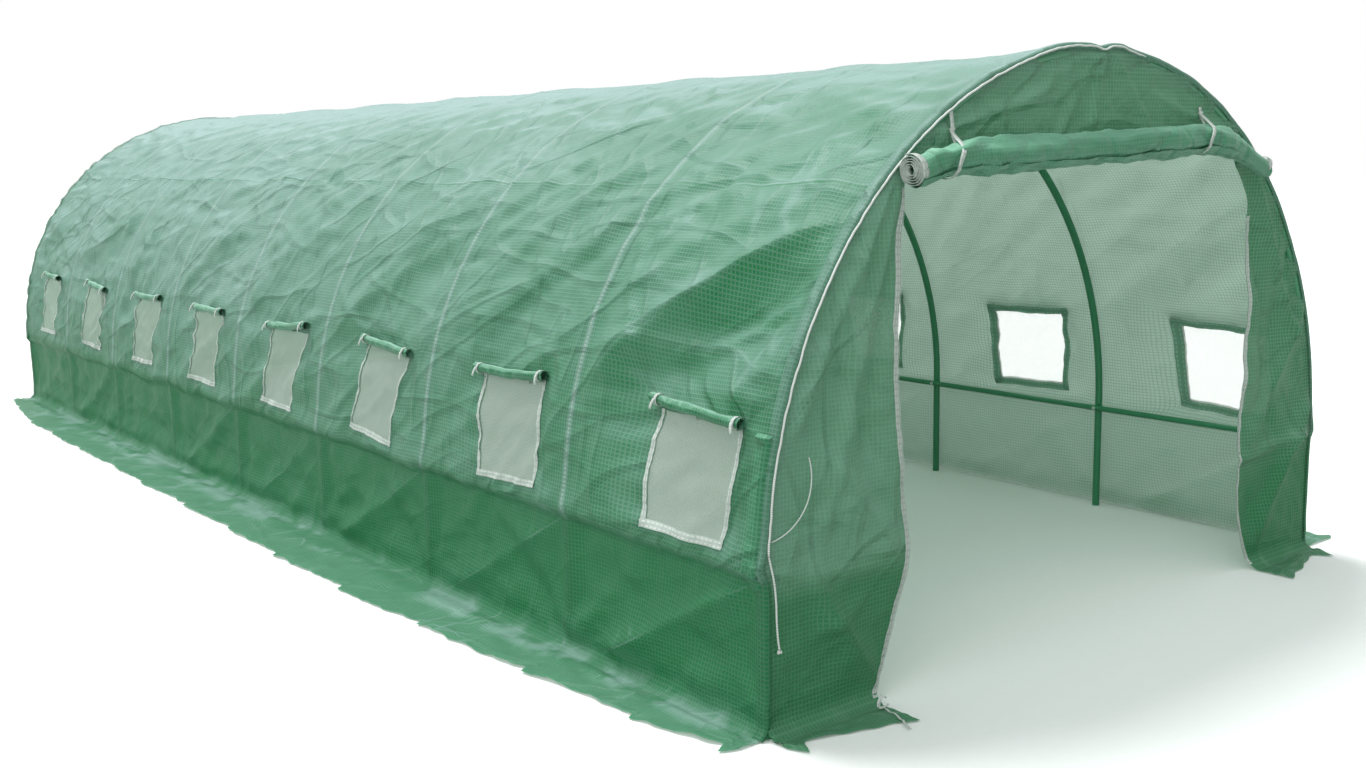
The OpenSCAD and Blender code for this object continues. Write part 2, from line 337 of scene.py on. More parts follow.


# Slant, then length and spacing in metres, then how thin the painted highlight along the crest is.
FOLD_SETS = ((-0.55, 0.95, 0.210, 0.022), (0.03, 0.80, 0.240, 0.016), (1.44, 0.55, 0.190, 0.020))
CREST_HALF = 0.060                                 # a soft crest's half width, in the noise that draws it


def old_folds(tree, part, girth):
    """Soft crests of old folds, some along the tunnel, some across and some slanting down to the back, with a
    hairline of painted highlight along each crest."""
    mirrored = put(tree, "CombineXYZ", (part.outputs["X"], girth))
    fold = crest_highlight = None
    for slant, long, short, thin in FOLD_SETS:
        lain = put(tree, "Mapping", {"Vector": mirrored, "Rotation": (0, 0, slant)})
        lain = put(tree, "VectorMath", (lain, (1 / long, 1 / short, 1)), operation="MULTIPLY")
        field = put(tree, "TexNoise", {"Vector": lain, "Scale": 1.0, "Detail": 1.0, "Roughness": 0.35})
        away = put(tree, "Math", (field, 0.5), operation="SUBTRACT")
        away = put(tree, "Math", [away], operation="ABSOLUTE")
        crest = put(tree, "MapRange", (away, 0.0, CREST_HALF, 1.0, 0.0))
        line = put(tree, "MapRange", (away, 0.0, thin, 1.0, 0.0))
        fold = crest if fold is None else put(tree, "Math", (fold, crest), operation="ADD")
        crest_highlight = line if crest_highlight is None else put(tree, "Math", (crest_highlight, line), operation="MAXIMUM")
    return fold, crest_highlight


def skirt_rubbing(tree, place, girth):
    """How much less full the green is on the ground: pale rubbed patches at the wall's foot, less further out."""
    creased = put(tree, "TexNoise", {"Vector": place, "Scale": 2.9, "Detail": 4.0, "Roughness": 0.6})
    rubbed = put(tree, "MapRange", (creased, 0.478, 0.545, 0.0, -0.44))
    near = put(tree, "MapRange", (girth, GROUND + 0.06, GROUND + 0.11, 1.0, 0.0))
    above = put(tree, "MapRange", (girth, WALL_END - 0.075, WALL_END - 0.010, 0.0, 1.0))
    for share in (near, above):
        rubbed = put(tree, "Math", (rubbed, share), operation="MULTIPLY")
    past = put(tree, "MapRange", (girth, GROUND + 0.05, GROUND + 0.10, 0.0, -0.06))
    return put(tree, "Math", (rubbed, past), operation="ADD")


# Sewing over the hoops: stitches of about 5 mm on the real sheet, drawn 9 mm long every 15 mm so that they show.
STITCH_PITCH, STITCH_RUN, STITCH_HALF = 0.015, 0.0096, 0.0042
# Weld between two widths, a pale line with a painted shadow as the darker one: girth, half width, which green it takes
# and how strongly.
WELD_LINES = ((SEAM_S, 0.0042, "pale", 0.42), (SEAM_S + 0.0085, 0.0036, "deep", 0.45))


def sewn_and_welded(tree, colour, part, girth, low, patches, greens):
    """Over the hoops a paler, doubled band, partly painted highlight on the rib, with one dotted row of thread;
    along the weld a pale line with a painted shadow under it; on each bay's lower wall a sharp crease drawn as a
    pale painted highlight, from the back hoop's foot to the ledge at the front one."""
    off = put(tree, "Math", (part.outputs["X"], -HOOPS[0]), operation="ADD")
    from_hoop = put(tree, "Math", (off, BAY / 2), operation="PINGPONG")
    row = put(tree, "Math", (from_hoop, 0.0, STITCH_HALF), operation="COMPARE")
    dash = put(tree, "Math", (part.outputs["Y"], STITCH_PITCH / 2), operation="PINGPONG")
    inked = put(tree, "Math", (dash, STITCH_RUN / 2), operation="LESS_THAN")
    stitch = put(tree, "Math", (row, inked), operation="MULTIPLY")
    # The band over the hoops is paler partly as a painted highlight along the rib.
    band = put(tree, "MapRange", (from_hoop, 0.011, 0.020, 1.0, 0.0))
    raised = put(tree, "Math", (low, -0.34, 0.34), operation="MULTIPLY_ADD")
    doubled = put(tree, "Math", (band, raised), operation="MULTIPLY")
    colour = put(tree, "Mix", {0: doubled, 6: colour, 7: greens["pale"]}, data_type="RGBA")
    # The second, darker weld line is a painted shadow under the first.
    for at, wide, green, share in WELD_LINES:
        weld = put(tree, "Math", (girth, at, wide), operation="COMPARE")
        strong = put(tree, "MapRange", (patches, 0.42, 0.60, 0.08, share))
        strong = put(tree, "Math", (weld, strong), operation="MULTIPLY")
        colour = put(tree, "Mix", {0: strong, 6: colour, 7: greens[green]}, data_type="RGBA")
    # The lower wall's crease is a pale painted highlight.
    bay = put(tree, "Math", (off, BAY), operation="FLOORED_MODULO")
    bay = put(tree, "Math", (bay, -CREASE_RISE, CREASE_RISE * BAY - ARC_END - CREASE_FOOT), operation="MULTIPLY_ADD")
    from_crease = put(tree, "Math", (girth, bay), operation="ADD")
    wander = put(tree, "Math", (patches, 0.03, -0.015), operation="MULTIPLY_ADD")
    sharp = put(tree, "Math", (from_crease, wander, 0.0042), operation="COMPARE")
    crease_highlight = put(tree, "MapRange", (patches, 0.44, 0.60, 0.0, 0.22))
    for share in (low, crease_highlight):
        sharp = put(tree, "Math", (sharp, share), operation="MULTIPLY")
    colour = put(tree, "Mix", {0: sharp, 6: colour, 7: greens["pale"]}, data_type="RGBA")
    kept = put(tree, "Math", (low, -0.62, 0.62), operation="MULTIPLY_ADD")
    sewing = put(tree, "Math", (stitch, kept), operation="MULTIPLY")
    return put(tree, "Mix", {0: sewing, 6: colour, 7: ink(SEWING_THREAD)}, data_type="RGBA"), band


def woven_sheet(name, deep, pale, glow, light_through, see_through=0.0, sewn=False, threads=0.22,
                paler_across=(0.0, 0.0), milky=0.75, doubled_below=(0.455, 0.497), paler_back=(0.0, 0.0)):
    """Laminated woven polyethylene: a satin film over a square grid of stiff threads. The eye sees a fine
    pale grid, light coming through from the far side, and a painted sky sheen, paler wherever the cloth faces the sky."""
    made, tree = new_material(name)
    deep, pale = ink(deep), ink(pale)
    grid, part = thread_grid(tree, THREAD_PITCH, THREAD_WIDE)
    shape = put(tree, "NewGeometry")
    place = shape.outputs["Position"]
    spot = put(tree, "SeparateXYZ", [place])
    facing = put(tree, "SeparateXYZ", [shape.outputs["Normal"]])
    upward = put(tree, "Math", [facing.outputs["Z"]], operation="ABSOLUTE")
    girth = put(tree, "Math", [part.outputs["Y"]], operation="ABSOLUTE")
    patches = put(tree, "TexNoise", {"Vector": place, "Scale": 2.6, "Detail": 6.0, "Roughness": 0.62})
    # Below the wall's bend the cloth is doubled and in painted shade: it keeps its fuller, deep green, without the
    # painted sky sheen.
    uneven = 0.08 if sewn else 0.0
    height = put(tree, "Math", (patches, uneven, spot.outputs["Z"]), operation="MULTIPLY_ADD")
    low = put(tree, "MapRange", (height, doubled_below[0] + uneven / 2, doubled_below[1] + uneven / 2, 1.0, 0.0))
    # Painted sky sheen: paler by how far the cloth faces the sky, most at the crown; paler across the width as given;
    # in random patches; and paler towards the back and higher up.
    sheen_and_patches = put(tree, "MapRange", (upward, 0.02, 0.95, 0.10, 0.46))
    crown = put(tree, "MapRange", (upward, 0.86, 0.99, 0.0, 0.42), interpolation_type="SMOOTHSTEP")
    aside = put(tree, "MapRange", (spot.outputs["X"], -RADIUS, RADIUS, *paler_across))
    mottled = put(tree, "Math", (patches, 0.36, -0.20), operation="MULTIPLY_ADD")
    back = put(tree, "MapRange", (spot.outputs["Y"], -3.6, 0.8, *paler_back))
    higher_share = put(tree, "MapRange", (height, 0.50, 1.00, 0.15, 1.0))
    for share in (higher_share, put(tree, "Math", (1.0, low), operation="SUBTRACT")):
        back = put(tree, "Math", (back, share), operation="MULTIPLY")
    for more in (crown, aside, mottled, back):
        sheen_and_patches = put(tree, "Math", (sheen_and_patches, more), operation="ADD")
    body = put(tree, "Mix", {0: sheen_and_patches, 6: deep, 7: pale}, data_type="RGBA")
    fullness = put(tree, "MapRange", (upward, 0.6, 0.9, 0.85, 0.86 if sewn else 0.76))
    if sewn:
        fullness = put(tree, "Math", (fullness, skirt_rubbing(tree, place, girth)), operation="ADD")
    fuller = put(tree, "Math", (low, fullness), operation="MULTIPLY")
    body = put(tree, "Mix", {0: fuller, 6: body, 7: deep}, data_type="RGBA")
    showing = put(tree, "Math", (low, -0.45 * threads, threads), operation="MULTIPLY_ADD")
    lit = put(tree, "Math", (grid, showing), operation="MULTIPLY")
    colour = put(tree, "Mix", {0: lit, 6: body, 7: pale}, data_type="RGBA")
    # The inner face is the milky side of the laminate, painted paler with the glow of the light coming through it, its
    # threads painted darker against that glow, and in painted shade below the bend.
    inner_glow_film = put(tree, "Mix", {0: grid, 6: ink(INNER_FILM_GLOW), 7: ink(INNER_THREAD)}, data_type="RGBA")
    shaded = put(tree, "Math", (low, 0.40), operation="MULTIPLY")
    inner_glow_film = put(tree, "Mix", {0: shaded, 6: inner_glow_film, 7: ink(INNER_SHADED)}, data_type="RGBA")
    inside = put(tree, "Math", (shape.outputs["Backfacing"], milky), operation="MULTIPLY")
    # Fewer old folds show on the doubled cloth below the bend and on the milky inner face.
    fold, crest_highlight = old_folds(tree, part, girth)
    for where, less in ((low, -0.72), (inside, -0.95)):
        taut = put(tree, "Math", (where, less, 1.0), operation="MULTIPLY_ADD")
        fold = put(tree, "Math", (fold, taut), operation="MULTIPLY")
    # The hairlines are painted highlights: in patches, and only where the cloth faces up.
    seen = put(tree, "MapRange", (patches, 0.46, 0.60, 0.0, 0.36))
    faces_up = put(tree, "MapRange", (upward, 0.30, 0.62, 0.0, 1.0))
    for share in (seen, faces_up):
        crest_highlight = put(tree, "Math", (crest_highlight, share), operation="MULTIPLY")
    colour = put(tree, "Mix", {0: crest_highlight, 6: colour, 7: pale}, data_type="RGBA")
    ripple = put(tree, "TexNoise", {"Vector": place, "Scale": 22.0, "Detail": 4.0, "Distortion": 0.8})
    knitted = put(tree, "Math", (ripple, 3.0, grid), operation="MULTIPLY_ADD")
    if sewn:
        colour, band = sewn_and_welded(tree, colour, part, girth, low, patches, {"deep": deep, "pale": pale})
        knitted = put(tree, "Math", (band, 0.8, knitted), operation="MULTIPLY_ADD")
    colour = put(tree, "Mix", {0: inside, 6: colour, 7: inner_glow_film}, data_type="RGBA")
    fine = put(tree, "Bump", {"Height": knitted, "Strength": 0.55, "Distance": WEAVE_DEEP})
    dent = put(tree, "Bump", {"Height": fold, "Strength": 0.90, "Distance": FOLD_DEEP, "Normal": fine})
    skin = put(tree, "BsdfPrincipled", {
        "Base Color": colour, "Roughness": 0.46, "IOR": 1.45, "Specular IOR Level": 0.36,
        "Sheen Weight": 0.05, "Sheen Roughness": 0.35, "Normal": dent})
    shine = put(tree, "Mix", {0: shape.outputs["Backfacing"], 6: deep, 7: ink(glow)}, data_type="RGBA")
    through = put(tree, "BsdfTranslucent", {"Color": shine, "Normal": dent})
    shader = put(tree, "MixShader", (light_through, skin, through))
    if see_through:
        gap = put(tree, "Math", (grid, -see_through, see_through), operation="MULTIPLY_ADD")
        single = put(tree, "Math", (low, -0.6, 1.0), operation="MULTIPLY_ADD")
        gap = put(tree, "Math", (gap, single), operation="MULTIPLY")
        shader = put(tree, "MixShader", (gap, shader, put(tree, "BsdfTransparent")))
    finish_material(tree, shader)
    return made


def open_net(name):
    """Fine white polyester net, heat set: mostly air, with a milky veil of threads."""
    made, tree = new_material(name)
    grid = thread_grid(tree, NET_PITCH, NET_WIDE)[0]
    veil = put(tree, "MapRange", (grid, 0.0, 1.0, 0.30, 0.62))
    thread = put(tree, "BsdfPrincipled", {"Base Color": ink(NET_THREAD), "Roughness": 0.6, "IOR": 1.5})
    glow = put(tree, "BsdfTranslucent", {"Color": ink(NET_GLOW)})
    body = put(tree, "MixShader", (0.4, thread, glow))
    finish_material(tree, put(tree, "MixShader", (veil, put(tree, "BsdfTransparent"), body)))
    return made


def stitched_tape(name, colour, thread, seam, light_through=0.3):
    """Woven ribbon sewn down near both edges: a flat dull face with a dotted row of thread."""
    made, tree = new_material(name)
    part = put(tree, "SeparateXYZ", [put(tree, "UVMap", uv_map="cloth")])
    # Across runs from 0 to 1 on a tape, along is in metres. The real stitches are about 5 mm; drawn 15 mm long
    # every 22 mm so that they show.
    edge = put(tree, "Math", (part.outputs["X"], 0.5), operation="PINGPONG")
    near = put(tree, "Math", (edge, seam, 0.09), operation="COMPARE")
    dash = put(tree, "Math", (part.outputs["Y"], 0.011), operation="PINGPONG")
    inked = put(tree, "Math", (dash, 0.0075), operation="LESS_THAN")
    stitch = put(tree, "Math", (near, inked), operation="MULTIPLY")
    place = put(tree, "NewGeometry").outputs["Position"]
    soil = put(tree, "TexNoise", {"Vector": place, "Scale": 18.0, "Detail": 4.0})
    dull = put(tree, "Mix", {0: soil, 6: ink(colour), 7: ink(TAPE_SOIL)}, data_type="RGBA")
    body = put(tree, "Mix", {0: 0.45, 6: ink(colour), 7: dull}, data_type="RGBA")
    shade = put(tree, "Mix", {0: stitch, 6: body, 7: ink(thread)}, data_type="RGBA")
    dent = put(tree, "Bump", {"Height": stitch, "Strength": 0.7, "Distance": 0.0012})
    skin = put(tree, "BsdfPrincipled", {"Base Color": shade, "Roughness": 0.6, "IOR": 1.5, "Normal": dent})
    through = put(tree, "BsdfTranslucent", {"Color": shade})
    finish_material(tree, put(tree, "MixShader", (light_through, skin, through)))
    return made


def satin_coat(name, colour):
    """Powder coat on steel tube, and the moulded nylon of zip teeth: an even satin colour with a faint orange-peel
    skin and rubbed, paler spots."""
    made, tree = new_material(name)
    place = put(tree, "NewGeometry").outputs["Position"]
    rub = put(tree, "TexNoise", {"Vector": place, "Scale": 9.0, "Detail": 6.0, "Roughness": 0.7})
    worn = put(tree, "MapRange", (rub, 0.52, 0.75, 0.0, 0.35))
    shade = put(tree, "Mix", {0: worn, 6: ink(colour), 7: ink(RUBBED_COAT)}, data_type="RGBA")
    peel = put(tree, "TexNoise", {"Vector": place, "Scale": 700.0, "Detail": 1.0})
    dent = put(tree, "Bump", {"Height": peel, "Strength": 0.2, "Distance": 0.0003})
    rough = put(tree, "MapRange", (rub, 0.0, 1.0, 0.28, 0.5))
    skin = put(tree, "BsdfPrincipled", {"Base Color": shade, "Roughness": rough, "IOR": 1.5, "Normal": dent})
    finish_material(tree, skin)
    return made


def braided_cord(name, colour):
    """Braided polypropylene cord: white strands that cross at an angle, with painted shade between them."""
    made, tree = new_material(name)
    place = put(tree, "NewGeometry").outputs["Position"]
    strands = put(tree, "TexWave", {"Vector": place, "Scale": 90.0, "Distortion": 1.5},
                  bands_direction="DIAGONAL").outputs["Fac"]
    shade = put(tree, "Mix", {0: strands, 6: ink(CORD_SHADE), 7: ink(colour)}, data_type="RGBA")
    dent = put(tree, "Bump", {"Height": strands, "Strength": 0.6, "Distance": 0.0008})
    skin = put(tree, "BsdfPrincipled", {"Base Color": shade, "Roughness": 0.65, "IOR": 1.5, "Normal": dent})
    finish_material(tree, skin)
    return made


def zinc_plate(name):
    """Zinc-plated steel bolts: a cool, slightly cloudy bright metal."""
    made, tree = new_material(name)
    place = put(tree, "NewGeometry").outputs["Position"]
    cloud = put(tree, "TexNoise", {"Vector": place, "Scale": 120.0, "Detail": 3.0})
    shade = put(tree, "Mix", {0: cloud, 6: ink(ZINC_CLOUDY), 7: ink(ZINC_BRIGHT)}, data_type="RGBA")
    rough = put(tree, "MapRange", (cloud, 0.0, 1.0, 0.25, 0.45))
    finish_material(tree, put(tree, "BsdfPrincipled", {"Base Color": shade, "Metallic": 1.0, "Roughness": rough}))
    return made


# Each sheet: its full green, its pale green (of the threads, the painted sky sheen and the painted highlights), the
# green of light through it, and how much light comes through.
COVER_SHEET = woven_sheet("woven_polyethylene_cover", "#1b7d47", "#b6d4d2", "#b3cdbd", 0.36, sewn=True,
                          paler_back=(-0.05, 0.29))
# The end panels are painted paler towards their left, as light shining through them from behind.
END_SHEET = woven_sheet("woven_polyethylene_end_panel", "#1a7a44", "#a4d2bc", "#9dbfaa", 0.40, see_through=0.05,
                        threads=0.42, paler_across=(0.50, 0.0), doubled_below=(0.39, 0.50))
ROLL_SHEET = woven_sheet("woven_polyethylene_rolled_door", "#1d7a4e", "#8cc4a9", "#5f9f7c", 0.10, threads=0.20,
                         paler_across=(0.14, 0.14), milky=0.0)
FLAP_SHEET = woven_sheet("woven_polyethylene_rolled_flap", "#1b7449", "#9cc9b5", "#5f9f7c", 0.10, threads=0.20,
                         milky=0.0, paler_back=(-0.20, 0.10))
PLEAT_SHEET = woven_sheet("woven_polyethylene_doubled_pleat", "#1b7449", "#8cc4a9", "#5f9f7c", 0.16,
                          paler_across=(-0.04, -0.04), milky=0.0)
WINDOW_NET = open_net("heat_set_polyester_net")
WHITE_TAPE = stitched_tape("white_woven_edging_tape", "#dfe6e1", "#f4f6f4", 0.25)
HEM_TAPE = stitched_tape("green_sewn_window_hem", "#79af93", "#a3ccb7", 0.2)
TURNED_HEM = woven_sheet("woven_polyethylene_turned_hem", "#1b7d47", "#b6d4d2", "#b3cdbd", 0.36,
                         paler_across=(0.10, 0.10))
TUBE_PAINT = satin_coat("green_powder_coated_steel", "#2f8359")
CLEAR_TAPE = stitched_tape("clear_white_edging_tape", "#d6dfd9", "#eef2ef", 0.25)
ZIP_TAPE = stitched_tape("grey_white_zip_tape", "#c9d2cc", "#e6ebe7", 0.25, 0.2)
ZIP_TEETH = satin_coat("moulded_nylon_zip_teeth", "#b9c4bd")
CORD = braided_cord("white_braided_polypropylene", "#f8f9f7")
ZINC = zinc_plate("zinc_plated_steel")


# ---- the cord's loose tail, hanging from the hem at the left of the doorway ----
TAIL_FROM = (-1.48886, -4.0033, 0.55)
TAIL_ROUTE = [(0, 0, -0.0003), (0.005, -0.003, -0.030), (0.014, -0.007, -0.080), (0.020, -0.008, -0.140),
              (0.022, -0.008, -0.200), (0.027, -0.007, -0.250), (0.034, -0.006, -0.288)]
CORD_D = 0.006
KNOT_TURNS, KNOT_R, KNOT_TALL = 2.6, 0.0052, 0.0036


def make_cord_tail():
    path = smooth_path(np.array(TAIL_ROUTE) + TAIL_FROM, 28)
    points, faces = tube(path, CORD_D / 2, 10)
    tail = piece("cord_tail_run", points, faces, CORD, None, ("cord_tail",))
    turn = np.linspace(0, 2 * np.pi * KNOT_TURNS, 70)
    wound = path[-1] + np.stack([KNOT_R * np.cos(turn), KNOT_R * np.sin(turn),
                                 -0.004 + KNOT_TALL * np.sin(turn * 0.62)], -1)
    points, faces = tube(wound, CORD_D * 0.42)
    knot = piece("cord_tail_knot", points, faces, CORD)


make_cord_tail()

# The thinner cord, slung from the left panel back to the hem.
LOOP_FROM = (-1.48886, -4.0023, LEG)
LOOP_ROUTE = [(0.158, 0, 0.310), (0.161, -0.003, 0.290), (0.162, -0.006, 0.265), (0.160, -0.008, 0.240),
              (0.155, -0.009, 0.215), (0.146, -0.010, 0.190), (0.132, -0.010, 0.165), (0.112, -0.009, 0.140),
              (0.086, -0.008, 0.118), (0.058, -0.006, 0.102), (0.032, -0.003, 0.092), (0.011, 0, 0.086)]
LOOP_D = 0.004


def make_cord_loop():
    path = smooth_path(np.array(LOOP_ROUTE) + LOOP_FROM, 56)
    points, faces = tube(path, LOOP_D / 2)
    loop = piece("cord_loop_run", points, faces, CORD, None, ("cord_loop",))


make_cord_loop()


# ---- the cover: one sheet from skirt to skirt ----
def arch_frame(s):
    """Place and outward direction of the smooth sheet at a girth s, measured from the ridge, right side +."""
    t, side = np.abs(s), np.where(s < 0, -1.0, 1.0)
    turn = np.clip(t, 0, ARC_END) / RADIUS
    bend = np.clip(t - WALL_END, 0, GROUND - WALL_END) / FOOT_BEND
    out = np.clip(t - GROUND, 0, None)
    x = RADIUS * np.sin(turn) + FOOT_BEND * (1 - np.cos(bend)) + out
    z = np.where(t < ARC_END, LEG + RADIUS * np.cos(turn),
                 np.where(t < WALL_END, LEG - (t - ARC_END), FOOT_BEND * (1 - np.sin(bend))))
    nx = np.where(t < ARC_END, np.sin(turn), np.cos(bend))
    nz = np.where(t < ARC_END, np.cos(turn), np.sin(bend))
    return x * side, z, nx * side, nz


# Creases that the eye picks out on the photographed side and their like on the other, each as its two ends
# (along the tunnel, girth from the ridge), its height and how wide it is.
LONG_FOLDS = [
    ((-3.92, 1.02), (-3.02, 1.66), 0.013, 0.050), ((-3.92, 0.80), (-3.02, 1.42), 0.010, 0.045),
    ((-3.96, 1.52), (-3.30, 1.92), -0.016, 0.080), ((-3.95, 0.60), (-2.55, 1.55), 0.010, 0.050),
    ((-2.98, 0.80), (-2.10, 1.75), 0.012, 0.050),
    ((-2.98, 1.35), (-2.35, 1.85), -0.009, 0.040), ((-1.98, 0.95), (-1.25, 1.80), 0.010, 0.045),
    ((-0.98, 0.70), (-0.20, 1.70), 0.009, 0.045), ((0.02, 0.90), (0.75, 1.75), 0.010, 0.045),
    ((1.00, 0.75), (1.75, 1.70), 0.009, 0.045), ((2.00, 0.90), (2.70, 1.75), 0.010, 0.045),
    ((3.00, 0.70), (3.80, 1.75), 0.010, 0.045), ((-3.40, 0.15), (-2.60, 0.75), 0.007, 0.040),
]


def short_creases(seed, count):
    """Random short pressed creases, mostly along the tunnel or a little aslant."""
    rng = np.random.default_rng(seed)
    out = []
    for _ in range(count):
        y, s = rng.uniform(-3.9, 3.9), rng.uniform(-2.2, 2.2)
        run, slant = rng.uniform(0.10, 0.42), rng.normal(0.0, 0.5) + (0.9 if rng.random() < 0.35 else 0)
        dy, ds = 0.5 * run * math.cos(slant), 0.5 * run * math.sin(slant)
        high, wide = rng.uniform(0.005, 0.014) * rng.choice((-1, 1)), rng.uniform(0.013, 0.022)
        out.append(((y - dy, s - ds), (y + dy, s + ds), high, wide))
    return out


SHORT_CREASES = short_creases(7, 260)
FOOT_FOLDS = (0.6, 1.0, 0.55, 0.8, 0.35, 0.7, 0.3, 0.6, 0.4)      # how much the wall is folded at each hoop's foot
# Folds to a hoop's foot: where each begins and ends along the tunnel from it, its height and how sharp it is.
FOOT_RUNS = ((-0.20, -0.92, 0.038, 0.028), (0, -0.42, 0.010, 0.030), (0, 0.34, 0.009, 0.030), (0, 0.62, -0.010, 0.035))
PACKING_FOLDS = (0.42, 0.80, 1.455, 1.88)     # girths of the lengthwise folds from the packet
FRONT_FOLD = (1.23, 1.92, 0.040)              # the front bay's deep fold: girth at its start and end, height
RIGHT_SHARE = 0.45                            # how much of the deep folds' height the right side has
NEAR_SHIFTS = (-0.090, -0.045)                # how far the two front windows are pulled forward

# Heights of the cover's relief, in metres, and the widths of its ribs.
WALL_SAG, ROOF_SAG = 0.005, 0.010
HOOP_RIB, HOOP_RIB_WIDE = 0.0035, 0.020
PACKING_RIB, PACKING_RIB_WIDE = 0.0060, 0.016
SEAM_RIB, SEAM_RIB_WIDE = 0.0045, 0.014
CRUMPLES, PULLS = 0.0085, 0.0140
FAR_CRUMPLES, FAR_RIDGES, BACK_CRUMPLES = 0.0045, 0.0095, 0.016
LEDGE_BULGE, LEDGE_HOLLOW = 0.019, 0.019
WALL_CRUMPLES, KNOT_CRUMPLES, CORNER_CRUMPLES = 0.007, 0.012, 0.015
WINDOW_PUCKERS, WINDOW_SINK = 0.0055, 0.004
OVER_TUBE, TUBE_HALF, STEEPEST = 0.0016, 0.010, 0.33


def window_frame(y, s, k, side):
    """Place within a window: -1 to 1 from front to back edge and from head to sill, and a falloff outside it."""
    a = (y - WINDOW_YS[k]) / HALF_W
    b = (s * side - WINDOW_S) / HALF_TALL
    past = np.maximum(np.maximum(np.abs(a), np.abs(b)) - 1, 0)
    return a, b, np.exp(-(past / 0.45) ** 2)


def pulled_windows(y, s):
    """Sideways pull of the sheet about the windows: each is a little askew and its edges wander. The two front ones
    are drawn forward, the others lean and are pinched at half height."""
    dy, ds = np.zeros_like(y), np.zeros_like(y)
    for side in (LEFT, RIGHT):
        for k in range(len(WINDOW_YS)):
            a, b, w = window_frame(y, s, k, side)
            rng = np.random.default_rng(300 + 10 * k + side)
            lean, taper, drop = rng.normal(0, 0.010), 0.018, rng.normal(0, 0.008)
            near = k < len(NEAR_SHIFTS)
            shift, slack = (NEAR_SHIFTS[k], 0.0) if near else (0.0, 1.0)
            pinch = 0.026 * slack * a * np.clip(1 - (b - 0.2) ** 2, 0, 1)
            dy += w * (shift + (lean + 0.030 * slack) * b - taper * a * np.clip(b, 0, 1) - pinch
                       + 0.0050 * gradient_noise(y / 0.17 + k, s / 0.15, 41 + k))
            ds += w * (side * drop * a + 0.0045 * gradient_noise(y / 0.16, s / 0.17 + k, 71 + k))
    return dy, ds


def crown_bunch(s):
    """Bunched cloth at the crown of the front: a long hump, a pinch and a shorter hump."""
    return 0.012 * swell(s + 0.20, 0.17) + 0.011 * swell(s - 0.10, 0.060) - 0.008 * swell(s - 0.005, 0.030)


def deep_folds(lift, y, s, free):
    """Adds to the lift, in each bay, one deep fold that runs down and back from the front hoop to the next window's
    head, hollow below it."""
    t = np.abs(s)
    for k, y0 in enumerate(HOOPS[:-1]):
        rng = np.random.default_rng(900 + k)
        start, stop = rng.uniform(1.15, 1.45), rng.uniform(1.76, 1.96)
        deep = rng.uniform(0.012, 0.020)
        if k == 0:
            start, stop, deep = FRONT_FOLD
        d, run = along_segment(y, t, ((y0 + 0.02, start), (y0 + BAY - 0.02, stop)))
        d = d + 0.03 * gradient_noise(y / 0.4, t / 0.4, 905 + k)
        deep = deep * np.where(s < 0, 1.0, RIGHT_SHARE)
        lift = lift + free * deep * fade_ends(run, 0.2) * np.where(d > 0, np.exp(-d / 0.22), np.exp(d / 0.06))
        lift = lift - free * 0.6 * deep * fade_ends(run, 0.2) * swell(d + 0.20, 0.12)
    return lift


def lower_wall(lift, y, t, hoop):
    """Adds to the lift a bulge over the lengthwise tube, a sharp ledge under it, slack below, long folds to the feet
    and small crumples where the sheet is gathered at the hoops."""
    on_wall = 1 - soft_step(t, WALL_END - 0.03, WALL_END + 0.03)
    rough = 1 + 1.1 * soft_step(y, -2.5, 1.0)
    ledge = ARC_END + 0.010 + 0.006 * np.clip(y + 3, 0, 7) + rough * (
        0.008 * gradient_noise(y / 0.4, t * 0, 43) + 0.007 * np.abs(gradient_noise(y / 0.13, t * 0, 44)))
    down = np.clip(t - ledge, 0, None)
    hang = LEDGE_BULGE * (1.30 - 0.30 * rough) * (1 + 0.55 * gradient_noise(y / 0.27, t * 0, 46))
    lift = lift + hang * np.where(t < ledge, swell(t - ledge, 0.075), swell(t - ledge, 0.016))
    lift = lift - on_wall * LEDGE_HOLLOW * soft_step(down, 0.008, 0.045) * (1 - soft_step(down, 0.26, 0.40))
    for foot, folded in zip(HOOPS, FOOT_FOLDS):
        for begin, reach, high, sharp in FOOT_RUNS:
            d, run = along_segment(y, t, ((foot + begin, ARC_END + 0.46), (foot + reach, ARC_END + 0.06)))
            fold = 0.5 * bump_line(d, sharp) + 0.5 * swell(d, 0.060)
            lift = lift + on_wall * folded * high * fade_ends(run, 0.12) * fold
    lift = lift + on_wall * soft_step(down, 0.0, 0.10) * WALL_CRUMPLES * crumple(y / 0.34, t / 0.24, 47)
    knots = swell(hoop, 0.055) * swell(t - ARC_END - 0.065, 0.060)
    lift = lift + knots * KNOT_CRUMPLES * crumple(y / 0.05, t / 0.04, 45, 2)
    corner = swell(y + HALF_L - 0.06, 0.08) * swell(t - ARC_END - 0.06, 0.11)
    lift = lift + corner * CORNER_CRUMPLES * crumple(y / 0.06, t / 0.035, 49, 2)
    return lift


